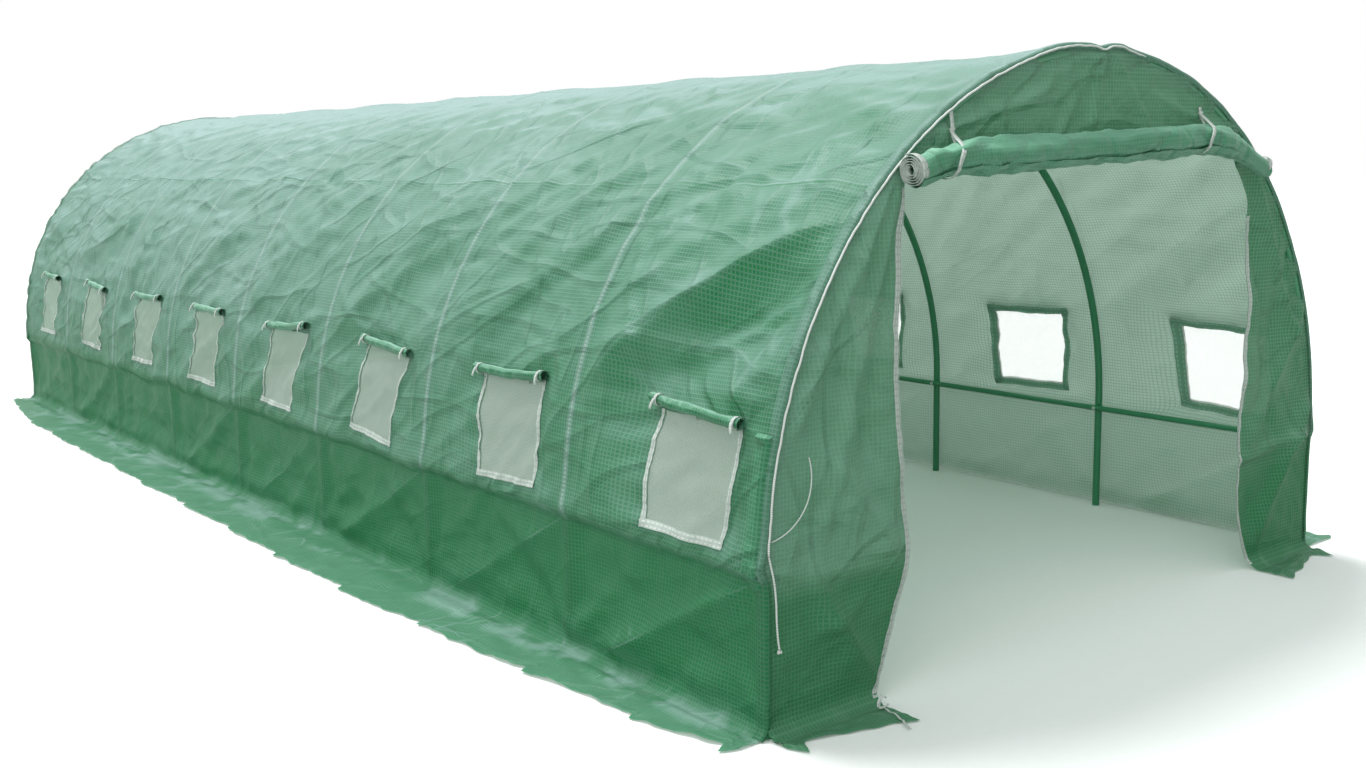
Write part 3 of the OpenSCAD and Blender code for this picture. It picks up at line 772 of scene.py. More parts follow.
def cover_lift(y, s):
    """How far the sheet stands out from, or sags in from, the smooth arch."""
    t = np.abs(s)
    bay = np.clip((y - HOOPS[0]) / BAY, 0, 7.999)
    part = bay - np.floor(bay)
    hoop = np.abs(y - np.array(HOOPS)[np.clip(np.round(bay).astype(int), 0, 8)])
    slack = 1 - np.abs(2 * part - 1) ** 2.4
    roof = 1 - soft_step(t, 1.2, 2.3)
    wall = soft_step(t, ARC_END - 0.10, ARC_END + 0.10)
    free = soft_step(hoop, 0.0, 0.16)
    lift = -slack * (WALL_SAG + ROOF_SAG * roof)
    lift = lift + HOOP_RIB * swell(hoop, HOOP_RIB_WIDE)
    calm = 0.30 + 0.70 * soft_step(t, 0.15, 1.0)
    lift = lift + free * calm * CRUMPLES * crumple(y / 0.44, s / 0.33, 11)
    # Long slanting pulls from the front of each bay's top to the back of its foot.
    turn = 0.55 + 0.22 * gradient_noise(y / 1.6, t / 1.6, 21)
    along, cross = y * np.cos(turn) + t * np.sin(turn), t * np.cos(turn) - y * np.sin(turn)
    pull = 1 - np.abs(gradient_noise(along / 0.95 + 40, cross / 0.20 + np.where(s < 0, 0, 17), 23)) * 1.6
    lift = lift + free * calm * PULLS * pull * np.abs(pull) * (1 - 0.5 * wall)
    lift = deep_folds(lift, y, s, free)
    # Towards the back the cloth is more crumpled, in slanting ridged folds, and most by the back hoop.
    far = soft_step(y, -2.3, 0.8) * soft_step(t, 0.35, 1.1) * (1 - 0.6 * wall)
    side_shift = np.where(s < 0, 0, 31)
    ridged = 1 - 2.2 * np.abs(gradient_noise(along / 0.60 + 80 + side_shift, cross / 0.125, 57))
    lift = lift + free * far * (FAR_CRUMPLES * crumple(y / 0.42 + side_shift, t / 0.15, 53)
                                + FAR_RIDGES * ridged * np.abs(ridged))
    lift = lift + BACK_CRUMPLES * soft_step(y, 3.55, 4.0) * np.abs(
        crumple(y / 0.5 + side_shift, t / 0.22, 59, 2)) * (1 - wall)
    for girth in PACKING_FOLDS:
        sway = 0.018 * gradient_noise(y / 0.5, np.full_like(y, girth * 9), 31)
        seen = soft_step(gradient_noise(y / 0.6, np.full_like(y, girth * 5), 33), -0.35, 0.25)
        lift = lift + free * seen * PACKING_RIB * bump_line(t - girth - sway, PACKING_RIB_WIDE)
    lift = lift + SEAM_RIB * bump_line(t - SEAM_S, SEAM_RIB_WIDE)
    for ends_a, ends_b, high, wide in LONG_FOLDS:
        d, run = along_segment(y, t, (ends_a, ends_b))
        d = d + 0.02 * gradient_noise(y / 0.3, s / 0.3, 37)
        lift = lift + high * fade_ends(run) * swell(d, wide)
    for ends_a, ends_b, high, wide in SHORT_CREASES:
        near = (np.abs(y - ends_a[0]) < 0.7) & (np.abs(s - ends_a[1]) < 0.7)
        if near.any():
            d, run = along_segment(y[near], s[near], (ends_a, ends_b))
            lift[near] += high * fade_ends(run) * bump_line(d, wide)
    lift = lower_wall(lift, y, t, hoop)
    # Puckers round the windows, where the tapes are sewn on.
    for side in (LEFT, RIGHT):
        for k in range(len(WINDOW_YS)):
            w = window_frame(y, s, k, side)[2]
            near = w > 0.01
            if near.any():
                yy, ss = y[near], s[near]
                lift[near] += w[near] * (WINDOW_PUCKERS * crumple(yy / 0.13, ss / 0.12, 61 + k, 2) - WINDOW_SINK)
    # The sheet lies on the tubes, and falls away from them at no more than a third.
    lift = np.maximum(lift, OVER_TUBE - STEEPEST * np.clip(hoop - TUBE_HALF, 0, None))
    lift = lift * (1 - 0.35 * swell(s, 0.32))
    bunch = 1 - soft_step(y, -HALF_L + 0.02, -HALF_L + 0.30)
    lift = lift + bunch * crown_bunch(s)
    return np.where(t > WALL_END, lift * (1 - soft_step(t, WALL_END - 0.05, GROUND)), lift)


# Loose hem on the ground along the left side: how wide it is at each place along the tunnel.
HEM_PLACES = (-4.0, -3.9, -3.7, -3.3, -2.9, -2.2, -1.5, 3.0, 3.8, 4.0)
HEM_WIDTHS = (0.030, 0.085, 0.140, 0.165, 0.200, 0.245, 0.262, 0.235, 0.13, 0.10)


def skirt_width(y, side):
    """Loose hem on the ground: narrow at the front, wider behind, with a torn-looking wavy edge."""
    base = np.interp(np.abs(y) if side == RIGHT else y, HEM_PLACES, HEM_WIDTHS)
    base = np.where((side == RIGHT) & (y < 0), 0.235 - 0.09 * swell(y + HALF_L, 0.25), base)
    wander = (0.020 * gradient_noise(y / 0.45, y * 0 + side, 81)
              + 0.016 * np.abs(gradient_noise(y / 0.16, y * 0 + side * 3, 82)))
    along = y / 0.60 + 0.35 * gradient_noise(y / 0.9, y * 0 + side, 84)
    base = base + (0.028 * (along - np.floor(along)) - 0.014) * soft_step(base, 0.10, 0.16)
    base = base + 0.075 * np.clip(1 - np.abs(y + HALF_L - 0.022) / 0.035, 0, 1)
    return base + (wander + 0.008 * gradient_noise(y / 0.07, y * 0 + side, 83)) * soft_step(base, 0.02, 0.12)


def cover_point(y, s, lift=0.0):
    """Place of the cover at a length y and a girth s, raised by lift from its face."""
    y, s = np.broadcast_arrays(np.asarray(y, float), np.asarray(s, float))
    y, s = y.copy(), s.copy()
    dy, ds = pulled_windows(y, s)
    x, z, nx, nz = arch_frame(s + ds)
    out = cover_lift(y, s) - SHEET_IN + lift
    t = np.abs(s)
    over = np.clip(t - GROUND, 0, None)
    side = np.where(s < 0, -1.0, 1.0)
    hem = np.where(s < 0, skirt_width(y, LEFT), skirt_width(y, RIGHT))
    x = x + np.where(t > GROUND, side * (over / SKIRT_RUN * hem - over), 0)
    waves = 0.022 * np.abs(gradient_noise(y / 0.22, s / 0.15, 85)) * (1 - 0.5 * over / SKIRT_RUN)
    lay = 0.004 + soft_step(over, 0.0, 0.05) * (waves + 0.008 * np.abs(gradient_noise(y / 0.075, s / 0.30, 87)))
    height = z + np.where(t > WALL_END, soft_step(t, WALL_END, GROUND) * lay, 0)
    return np.stack([x + out * nx, y + dy, np.maximum(height + out * nz, 0.0015)], -1)


# Mesh steps along the tunnel and down each side, as (up to, size): finer where the camera is near.
LENGTH_STEPS = ((-3, 0.0135), (-2, 0.016), (-1, 0.020), (1, 0.026), (math.inf, 0.034))
LEFT_STEPS = ((1.0, 0.028), (2.3, 0.020), (GROUND, 0.016), (math.inf, 0.023))
RIGHT_STEPS = ((1.0, 0.030), (2.3, 0.028), (GROUND, 0.022), (math.inf, 0.030))


def make_cover():
    edges = sorted([-HALF_L, HALF_L] + [y + e * HALF_W for y in WINDOW_YS for e in (-1, 1)] + HOOPS[1:-1])
    ys = lines(edges, LENGTH_STEPS)
    side = [0.0, 1.0, HEAD_S, SILL_S, ARC_END + 0.02, WALL_END, GROUND, GROUND + SKIRT_RUN]
    ss = np.concatenate([-lines(side, LEFT_STEPS)[:0:-1], lines(side, RIGHT_STEPS)])
    y, s = np.meshgrid(ys, ss, indexing="ij")
    ym, sm = 0.5 * (ys[:-1] + ys[1:]), 0.5 * (ss[:-1] + ss[1:])
    in_y = np.any([np.abs(ym - c) < HALF_W for c in WINDOW_YS], axis=0)
    in_s = (np.abs(sm) > HEAD_S) & (np.abs(sm) < SILL_S)
    keep = ~(in_y[:, None] & in_s[None, :])
    return piece("cover_sheet", cover_point(y, s), grid_quads(len(ys), len(ss), keep), COVER_SHEET,
                 np.stack([y, s], -1), ("ridge_sheet", "left_roof_sheet", "right_roof_sheet", "left_window_sheet",
                                        "right_window_sheet", "left_wall_sheet", "right_wall_sheet", "left_skirt",
                                        "right_skirt"))


COVER = make_cover()


# ---- ribbons, rolls and other sewn parts ----
def ribbon(path, wide, across, thick=0.0012):
    """Points, faces and cloth places of a flat strap along a path; across gives its width's direction."""
    path, across = np.asarray(path, float), np.broadcast_to(np.asarray(across, float), (len(path), 3))
    way = directions(path)
    across = across - way * np.sum(across * way, axis=1)[:, None]
    across = across / np.linalg.norm(across, axis=1)[:, None]
    face = np.cross(way, across)
    run = path_run(path)
    cuts = ((-0.5, -0.5), (0.0, -0.62), (0.5, -0.5), (0.5, 0.5), (0.0, 0.62), (-0.5, 0.5))
    rings = np.stack([path + across * wide * a + face * thick * b for a, b in cuts], 1)
    cloth = np.stack([np.broadcast_to([a + 0.5 for a, b in cuts], rings.shape[:2]),
                      np.broadcast_to(run[:, None], rings.shape[:2])], -1)
    n, c = rings.shape[:2]
    faces = ring_faces(n, c) + [list(range(c))[::-1], [(n - 1) * c + k for k in range(c)]]
    return rings.reshape(-1, 3), faces, cloth.reshape(-1, 2)


def patch(points, cloth, flipped=False):
    """A grid of points and their cloth places as one part: points, faces, cloth."""
    quads = grid_quads(*points.shape[:2])
    return points.reshape(-1, 3), (quads[:, ::-1] if flipped else quads).tolist(), cloth.reshape(-1, 2)


def joined(name, parts, material, replaces=(), smooth=True):
    """One piece made of several (points, faces, cloth)."""
    points, faces = merged([p[:2] for p in parts])
    cloth = np.concatenate([np.asarray(p[2], float).reshape(-1, 2) for p in parts])
    return piece(name, points, faces, material, cloth, replaces, smooth)


def rolled(centres, up, out, inner, outer, turns, steps, start, lump, seed):
    """A sheet rolled up along a path: points and cloth places of a spiral of the given turns, whose size at each
    station is outer."""
    n = len(centres)
    phi = np.linspace(0, turns * 2 * np.pi, turns * steps + 1)
    part = phi / phi[-1]
    station = np.arange(n)[:, None]
    size = inner + (outer[:, None] - inner) * part[None, :]
    broad = gradient_noise(station * 0.17 + 0 * part, np.cos(phi) * 1.3 + phi * 0.05 + 3, seed)
    small = gradient_noise(station * 0.45 + 0 * part, np.sin(phi) * 2.1 + 7, seed + 1)
    creased = gradient_noise(station * 0.16 + np.cos(phi) * 1.1, np.sin(phi) * 2.6 + station * 0.05, seed + 2)
    size = size * (1 + lump * part * broad + 0.5 * lump * part * small + 0.7 * lump * part * (0.4 - np.abs(creased)))
    turn = start + phi[None, :]
    points = centres[:, None, :] + size[..., None] * (np.cos(turn)[..., None] * out[:, None, :]
                                                      + np.sin(turn)[..., None] * up[:, None, :])
    return points, np.stack(np.broadcast_arrays(path_run(centres)[:, None], path_run(points[n // 2])[None, :]), -1)


# ---- front end: one sheet round the doorway, its feet running out on the ground ----
def curve_at(marks, x):
    path = smooth_path(marks, 240)
    return np.interp(x, path[:, 0], path[:, 1])


# The line of the door's head, as (x, z), and each jamb's edge, as (z, distance from the middle).
ROLL_LINE = [(-0.970, 1.612), (-0.700, 1.650), (-0.05, 1.668), (0.500, 1.692), (0.72, 1.668), (0.955, 1.582)]
JAMBS = {LEFT: [(-0.2, 1.075), (0.0, 1.062), (0.15, 0.995), (0.30, 0.945), (0.42, 0.910), (0.52, 0.902),
                (0.77, 0.938), (1.10, 0.955), (1.40, 0.945), (1.70, 0.935)],
         RIGHT: [(-0.2, 1.07), (0.0, 1.060), (0.12, 1.005), (0.26, 0.955), (0.38, 0.940), (0.52, 0.950),
                 (0.75, 0.968), (1.10, 0.976), (1.35, 0.966), (1.46, 0.950), (1.53, 0.902), (1.585, 0.830),
                 (1.625, 0.730), (1.70, 0.600)]}
END_R = RADIUS - 0.0035
END_Y = HALF_L - 0.001
CORNER_X, CORNER_OUT = 0.94, 0.985                 # where jamb and head meet: at the doorway, and at the arch
TURNED_IN = 0.014                                  # the front sheet's edge, turned in behind the arch


def outline_x(z):
    return np.where(z > LEG, np.sqrt(np.clip(END_R ** 2 - (z - LEG) ** 2, 0, None)), END_R)


def front_edges(a):
    """Outer and inner edge of the front sheet, as (x, z), at a place round the doorway: 0 to 1 up the left jamb,
    1 to 2 across the head, 2 to 3 down the right jamb; below 0 and above 3 it lies on the ground."""
    a = np.asarray(a, float)
    side = np.where(a < 1.5, LEFT, RIGHT)
    head_z = curve_at(ROLL_LINE, side * CORNER_X)
    up = np.clip(np.where(a < 1.5, a, 3 - a), 0, 1)
    z_in = up * head_z
    x_in = side * np.where(side < 0, curve_at(JAMBS[LEFT], z_in), curve_at(JAMBS[RIGHT], z_in))
    top_out = LEG + math.sqrt(END_R ** 2 - CORNER_OUT ** 2)
    z_out = up * top_out
    x_out = side * outline_x(z_out)
    t = np.clip(a - 1, 0, 1)
    begin = math.asin(CORNER_OUT / END_R)
    arc = -begin + 2 * begin * t
    over = (a > 1) & (a < 2)
    head_left, head_right = (way * float(curve_at(JAMBS[way], curve_at(ROLL_LINE, way * CORNER_X)))
                             for way in (LEFT, RIGHT))
    head_x = head_left + (head_right - head_left) * t
    x_in, z_in = np.where(over, head_x, x_in), np.where(over, curve_at(ROLL_LINE, head_x), z_in)
    x_out, z_out = np.where(over, END_R * np.sin(arc), x_out), np.where(over, LEG + END_R * np.cos(arc), z_out)
    return x_out, z_out, x_in, z_in


FRONT_SHARE, BACK_SHARE = 1.9, 0.7                 # how strongly the folds show at the front and at the back
# Folds of the end sheets, each as its two ends (x, z), its height and how wide it is.
END_FOLDS = [
    ((-1.00, 1.58), (-1.42, 0.84), 0.013, 0.026), ((-0.985, 1.52), (-1.28, 0.55), 0.012, 0.028),
    ((-0.97, 1.45), (-1.10, 0.75), -0.010, 0.024),
    ((1.00, 1.52), (1.38, 0.80), 0.012, 0.026), ((0.99, 1.40), (1.22, 0.45), -0.010, 0.028),
    ((-1.47, 0.62), (-1.08, 0.10), 0.022, 0.045), ((-1.45, 0.98), (-0.98, 0.48), 0.014, 0.040),
    ((-1.30, 1.25), (-1.02, 0.75), -0.010, 0.035), ((-1.49, 0.22), (-1.12, 0.34), 0.012, 0.030),
    ((-1.10, 1.50), (-1.18, 0.60), 0.008, 0.025), ((1.47, 0.66), (1.10, 0.12), 0.020, 0.045),
    ((1.40, 1.05), (1.02, 0.50), 0.012, 0.040), ((1.28, 1.28), (1.08, 0.70), -0.009, 0.030),
    ((-0.02, 1.99), (-0.22, 1.70), 0.008, 0.020), ((0.01, 1.99), (-0.05, 1.72), 0.013, 0.020),
    ((0.05, 1.99), (0.30, 1.72), 0.008, 0.022), ((-0.06, 1.98), (-0.54, 1.74), 0.006, 0.025),
    ((0.97, 0.46), (1.48, 0.51), 0.014, 0.018), ((-1.46, 0.47), (-1.05, 0.43), 0.008, 0.016),
    ((-0.80, 1.72), (-0.25, 1.86), 0.006, 0.020), ((0.30, 1.84), (0.82, 1.70), 0.006, 0.020),
]


def end_lift(x, z, loose, seed):
    """How far an end sheet stands out: creases everywhere, soft hanging folds towards a loose edge."""
    lift = (0.0055 * crumple(x / 0.24, z / 0.30, seed)
            + 0.004 * crumple((x + 0.6 * z) / 0.10, (z - 0.5 * x) / 0.34, seed + 5, 2))
    hang = gradient_noise(x / 0.11, z / 0.9, seed + 9)
    return lift + loose * (0.016 * hang + 0.018 * gradient_noise(x / 0.5, z / 0.28, seed + 11))


def front_skirt(x):
    """Width of the loose front hem, drawn in at the outer corner and drawn out to a point by the doorway."""
    from_side = np.clip((RADIUS - np.abs(x)) / 0.45, 0, 1)
    tip = 0.070 * np.clip(1 - np.abs(np.abs(x) - RADIUS + 0.035) / 0.035, 0, 1)
    return (0.030 + tip + 0.085 * soft_step(from_side, 0.0, 0.9) + 0.040 * swell(from_side - 1.0, 0.12)
            + 0.014 * gradient_noise(x / 0.09, x * 0, 95))


def front_point(a, b, lift=0.0):
    """Place on the front sheet: a runs round the doorway, b from 0 at the hem to 1 at the doorway's edge."""
    a, b = (v.copy() for v in np.broadcast_arrays(np.asarray(a, float), np.asarray(b, float)))
    xo, zo, xi, zi = front_edges(a)
    inner = np.clip(b, 0, 1)
    x, z = xo + (xi - xo) * inner, zo + (zi - zo) * inner
    loose = soft_step(inner, 0.25, 1.0) * soft_step(np.minimum(a, 3 - a), -0.2, 0.25)
    loose = loose * np.where((a > 1) & (a < 2), 0.25, 1.0)
    out = end_lift(x, z, loose, 101)
    for ends_a, ends_b, high, wide in END_FOLDS:
        d, run = along_segment(x, z, (ends_a, ends_b))
        out = out + FRONT_SHARE * high * fade_ends(run, 0.15) * (0.6 * swell(d, wide) + 0.4 * bump_line(d, wide * 0.6))
    under_cords = soft_step(-x, 1.26, 1.34) * soft_step(z, 0.16, 0.28) * (1 - soft_step(z, 0.82, 0.96))
    held = soft_step(inner, 0.0, 0.12) * soft_step(z, 0.0, 0.10) * (1 - 0.88 * under_cords)
    gathers = soft_step(inner, 0.0, 0.04) * (1 - soft_step(inner, 0.10, 0.42)) * soft_step(z, 0.85, 1.05)
    out = out * held + gathers * 0.011 * gradient_noise(z / 0.045, x / 0.30, 105) + lift
    ground = np.clip(np.maximum(-a, a - 3), 0, 1)
    foot = FOOT_BEND * np.clip(1 - z / FOOT_BEND, 0, 1) ** 2
    wave = 0.004 + 0.014 * np.abs(gradient_noise(x / 0.13, ground * 2, 97)) * soft_step(ground, 0, 0.3)
    y = -(END_Y + out + foot + ground * front_skirt(x))
    z = np.where(ground > 0, 0.0, z) + wave * soft_step(-z, -0.05, 0.0)
    y = y + np.clip(-b, 0, 1) * TURNED_IN
    return np.stack([x, y, z], -1)


def make_front():
    a = np.concatenate([np.linspace(-1, 0, 9)[:-1], np.linspace(0, 1, 91)[:-1], np.linspace(1, 2, 121)[:-1],
                        np.linspace(2, 3, 91), np.linspace(3, 4, 9)[1:]])
    b = np.concatenate([[-1.0], np.linspace(0, 1, 30)])
    aa, bb = np.meshgrid(a, b, indexing="ij")
    points = front_point(aa, bb)
    xo, zo, xi, zi = front_edges(aa)
    part = np.where(bb < 0, -TURNED_IN / np.hypot(xi - xo, zi - zo), bb)
    on_ground = np.clip(np.maximum(-aa, aa - 3), 0, 1) * END_HEM
    cloth = np.stack([xo + (xi - xo) * part, zo + (zi - zo) * part - on_ground], -1)
    return piece("front_end_sheet", points, grid_quads(len(a), len(b)), END_SHEET, cloth,
                 ("front_left_panel", "front_right_panel", "front_top_panel", "front_left_skirt", "front_right_skirt"))


FRONT = make_front()


# How far up each jamb the front zips run, as a share, where they begin, and the width of their tape.
ZIP_RUN = {LEFT: 0.955, RIGHT: 0.870}
ZIP_FOOT, ZIP_WIDE = 0.012, 0.020


def front_zip(side):
    """A zip's tape up one jamb, inside the doorway's edge."""
    across = np.linspace(0, 1, 5)
    along = np.linspace(0, 1, 160)
    t, w = np.meshgrid(along, across, indexing="ij")
    up = ZIP_FOOT + ZIP_RUN[side] * t
    a = up if side == LEFT else 3 - up
    xo, zo, xi, zi = front_edges(a)
    face = front_point(a, 1 - np.minimum(ZIP_WIDE / np.hypot(xi - xo, zi - zo), 0.45) * w, 0.0016)
    return patch(face, np.stack(np.broadcast_arrays(across[None, :], np.linspace(0, 1.6, len(along))[:, None]), -1))


def tooth_row(line, out, size):
    """Small moulded zip teeth along a line of points."""
    base = ((-1, -1), (1, -1), (1, 1), (-1, 1))
    faces = [[3, 2, 1, 0], [4, 5, 6, 7], [0, 1, 5, 4], [1, 2, 6, 5], [2, 3, 7, 6], [3, 0, 4, 7]]
    parts = []
    for p, w in zip(line, directions(line)):
        side = np.cross(w, out)
        corner = [p + w * size * 0.3 * i + side * size * 0.6 * j + out * size * k for k in (0, 0.55) for i, j in base]
        parts.append((corner, faces, np.zeros((8, 2))))
    return parts


def make_front_zips():
    parts, teeth = [], []
    for side in (LEFT, RIGHT):
        parts.append(front_zip(side))
        up = np.linspace(ZIP_FOOT, ZIP_RUN[side], 270)
        a = up if side == LEFT else 3 - up
        line = front_point(a, np.full_like(a, 0.9985), 0.0018)
        teeth += tooth_row(line, np.array((0, -1.0, 0)), 0.0042)
    tape = joined("front_zip_tapes", parts, ZIP_TAPE, ("front_zips",))
    row = joined("front_zip_teeth", teeth, ZIP_TEETH, smooth=False)
    return [tape, row]


# ---- the hem of the cover's two ends, turned over the hoops, and the white cord in it ----
# The turned hem's section, as (in from the cover's end, raised from its face).
HEM_CUTS = ((0.036, 0.0012), (0.032, 0.0030), (0.012, 0.0040), (-0.001, 0.0036), (-0.005, -0.001), (-0.0055, -0.011),
            (-0.0035, -0.016))
HEM_CORD_R, HEM_CORD_HALF = 1.4925, 0.0036        # the cord's arch, and half of its own thickness
# Angles of its two ends: a little below the arch's foot on the left, and a little past the crown.
HEM_CORD_FOOT, HEM_CORD_TOP = math.asin(0.05 / 1.4897), math.radians(78)


def make_end_hems():
    parts = []
    half = lines([0.0, ARC_END, GROUND - 0.02], 0.030)
    s = np.concatenate([-half[:0:-1], half])
    for end in (-1, 1):
        wave = (0.0014 * gradient_noise(s / 0.05, s * 0 + end, 111)
                + 0.0012 * gradient_noise(s / 0.16, s * 0 + end, 113))
        points = np.stack([cover_point(np.full_like(s, end * (HALF_L - inward)), s, raised + wave * (inward < 0.03))
                           for inward, raised in HEM_CUTS], 1)
        across = 0.5 + path_run(np.array(HEM_CUTS))
        parts.append(patch(points, np.stack(np.broadcast_arrays(across[None, :], s[:, None]), -1)))
    return joined("cover_end_hems", parts, TURNED_HEM)


def hem_cord_path(end):
    turn = np.linspace(math.pi - HEM_CORD_FOOT, HEM_CORD_TOP, 260)
    radius = (HEM_CORD_R + 0.0025 * gradient_noise(turn * 14, turn * 0 + end, 121)
              + 0.0020 * gradient_noise(turn * 40, turn * 0 + end, 123))
    if end < 0:
        radius = radius + crown_bunch(RADIUS * (math.pi / 2 - turn))
    sunk = 0.0070 * (1 - soft_step(turn, HEM_CORD_TOP, HEM_CORD_TOP + 0.22))
    y = end * (HALF_L + 0.0085 - sunk + 0.002 * gradient_noise(turn * 17, turn * 0 + end, 125))
    return np.stack([radius * np.cos(turn), y, LEG + radius * np.sin(turn)], -1)


def make_hem_cords():
    points, faces = merged([tube(hem_cord_path(end), HEM_CORD_HALF) for end in (-1, 1)])
    return piece("hem_cord_runs", points, faces, CORD, None, ("hem_cords",))


# ---- small things sewn on: the pleat by the front hoop, the hook and the tape's loose end at the doorway's foot ----
PLEAT_YS, PLEAT_TOP, PLEAT_LOW = (-3.988, -3.916), 1.965, 2.41


def make_pleat():
    """A doubled strip down the wall's front corner, closed at its top by a small rolled hem."""
    y = np.linspace(*PLEAT_YS, 9)
    s = np.concatenate([np.linspace(PLEAT_TOP, PLEAT_TOP + 0.05, 16)[:-1],
                        np.linspace(PLEAT_TOP + 0.05, PLEAT_LOW, 40)])
    yy, ss = np.meshgrid(y, s, indexing="ij")
    edge = soft_step(np.minimum(yy - PLEAT_YS[0], PLEAT_YS[1] - yy) / 0.016, 0.0, 1.0)
    lift = 0.0010 + edge * (0.0125 + 0.0040 * gradient_noise(yy / 0.04, ss / 0.13, 253))
    lift = (lift + 0.0130 * swell(ss - PLEAT_TOP - 0.014, 0.011)
            + 0.004 * np.abs(gradient_noise(yy / 0.02, ss / 0.3, 255)) * edge)
    return piece("corner_pleat", cover_point(yy, -ss, lift), grid_quads(len(y), len(s))[:, ::-1], PLEAT_SHEET,
                 np.stack([yy, ss], -1))


def make_foot_hook():
    """A moulded hook through the hem at the doorway's left foot, and the edging tape's loose end beside it."""
    foot = front_point(np.array([0.004]), np.array([0.97]))[0]
    ring = foot + np.array((-0.030, -0.045, 0.026))
    turn = np.linspace(0.7, 4.75, 30)
    wire = [ring + 0.0185 * np.array((math.cos(t), -0.15 * math.sin(t), math.sin(t))) for t in turn]
    wire += [ring + np.array((0.008 + 0.010 * i, 0.004 * i, -0.0180 - 0.0008 * i)) for i in range(4)]
    points, faces = tube(np.array(wire), 0.0030)
    hook = piece("hem_hook", points, faces, CORD)
    out = np.linspace(0.0, 0.98, 14)
    path = front_point(-out, 0.955 - 0.07 * out)
    path[:, 2] += 0.0050
    tip = [path[-1] + (-0.012, -0.022, -0.004), path[-1] + (-0.020, -0.048, -0.0065)]
    path = np.concatenate([[foot + (0.006, -0.006, 0.030)], path, tip])
    path[:, 2] = np.maximum(path[:, 2], 0.0025)
    strap = ribbon(smooth_path(path, 60), 0.0070, (1, -0.3, 0))
    end = joined("edging_tape_end", [strap], WHITE_TAPE)
    return [hook, end]


# ---- windows ----
# In shares of a window's half size: how far the side tapes lie inside its edge and how far out they reach on the two
# front windows and on the others, the sill tape's inner and outer reach, and the inside hem's inner and outer edge.
TAPE_IN, TAPE_OUT_NEAR, TAPE_OUT = 0.030, 0.065, 0.035
SILL_IN, SILL_OUT = 0.045, 0.100
HEM_INNER, HEM_OUTER = 0.995, 1.17


def window_grid(k, side, a, b, lift, cloth=None):
    """Part of a window's cloth: a from -1 at its front edge to 1 at its back, b from -1 at the head to 1 at the sill;
    lift and cloth give its height over the cover and its cloth places at a and b."""
    aa, bb = np.meshgrid(a, b, indexing="ij")
    points = cover_point(WINDOW_YS[k] + aa * HALF_W, side * (WINDOW_S + bb * HALF_TALL), lift(aa, bb))
    return patch(points, np.stack([aa * HALF_W, bb * HALF_TALL] if cloth is None else cloth(aa, bb), -1))


def make_nets(side, word):
    parts = []
    edge = np.linspace(-1.01, 1.01, 22)
    for k in range(len(WINDOW_YS)):
        sag = lambda a, b: (-0.0022 - 0.006 * (1 - a ** 2) * (1 - b ** 2)
                            + 0.0028 * crumple(a * 2.2 + k, b * 1.8, 131 + k, 2))
        parts.append(window_grid(k, side, edge, edge, sag))
    return joined(f"{word}_net_patches", parts, WINDOW_NET, (f"{word}_window_nets",))


def make_tapes(side, word):
    """White edging down both sides and a wider one along the sill, puckered by the stitching."""
    parts = []
    for k in range(len(WINDOW_YS)):
        pucker = lambda a, b: (0.0028 + 0.0016 * gradient_noise(a * 7 + k, b * 7, 141 + k)
                               + 0.0012 * gradient_noise(a * 19 + k, b * 19, 151 + k))
        wide = TAPE_OUT_NEAR if k < len(NEAR_SHIFTS) else TAPE_OUT
        for edge in (-1, 1):
            across = edge * (1 + np.linspace(-TAPE_IN, wide, 5))
            parts.append(window_grid(k, side, across, np.linspace(-1.02, 1.06, 34), pucker,
                                     lambda a, b: [(a * edge - 1 + TAPE_IN) / (TAPE_IN + wide), b * HALF_TALL]))
        down = 1 + np.linspace(-SILL_IN, SILL_OUT, 6)
        parts.append(window_grid(k, side, np.linspace(-1.07, 1.07, 40), down, lambda a, b: pucker(a, b) + 0.0012,
                                 lambda a, b: [(b - 1 + SILL_IN) / (SILL_IN + SILL_OUT), a * HALF_W]))
    return joined(f"{word}_edging_tapes", parts, CLEAR_TAPE, (f"{word}_window_tapes",))


def make_hems(side, word):
    """Green hem seen from inside, round each window: two upright strips, and two level ones laid over them."""
    parts = []
    strip, run = np.linspace(HEM_INNER, HEM_OUTER, 5), np.linspace(-HEM_OUTER, HEM_OUTER, 34)
    for k in range(len(WINDOW_YS)):
        low = lambda a, b: -0.0070 + 0.0012 * gradient_noise(a * 9 + k, b * 9, 161 + k)
        for edge in (-1, 1):
            share = lambda c: (c * edge - HEM_INNER) / (HEM_OUTER - HEM_INNER)
            parts.append(window_grid(k, side, edge * strip, run, low, lambda a, b: [share(a), b * HALF_TALL]))
            parts.append(window_grid(k, side, run, edge * strip, lambda a, b: low(a, b) - 0.0016,
                                     lambda a, b: [share(b), a * HALF_W]))
    return joined(f"{word}_inside_hems", parts, HEM_TAPE)


FLAP_L, FLAP_R = 0.470, 0.0195


def flap_line(k, side, count):
    """The middle line of a rolled flap over its window's head, with its outward and upward directions."""
    rng = np.random.default_rng(500 + 10 * k + side)
    tilt, droop = rng.normal(0, 0.010), rng.uniform(0.002, 0.007)
    t = np.linspace(-1, 1, count)
    s = side * (HEAD_S - FLAP_R * 0.9 + tilt * t + droop * (1 - t ** 2))
    base = cover_point(WINDOW_YS[k] + t * FLAP_L / 2, s, FLAP_R + 0.0035)
    lean = s / RADIUS
    out = np.stack([np.sin(lean), 0 * lean, np.cos(lean)], -1)
    up = np.stack([-np.cos(lean) * np.sign(s), 0 * lean, np.sin(np.abs(lean))], -1)
    return base, out, up


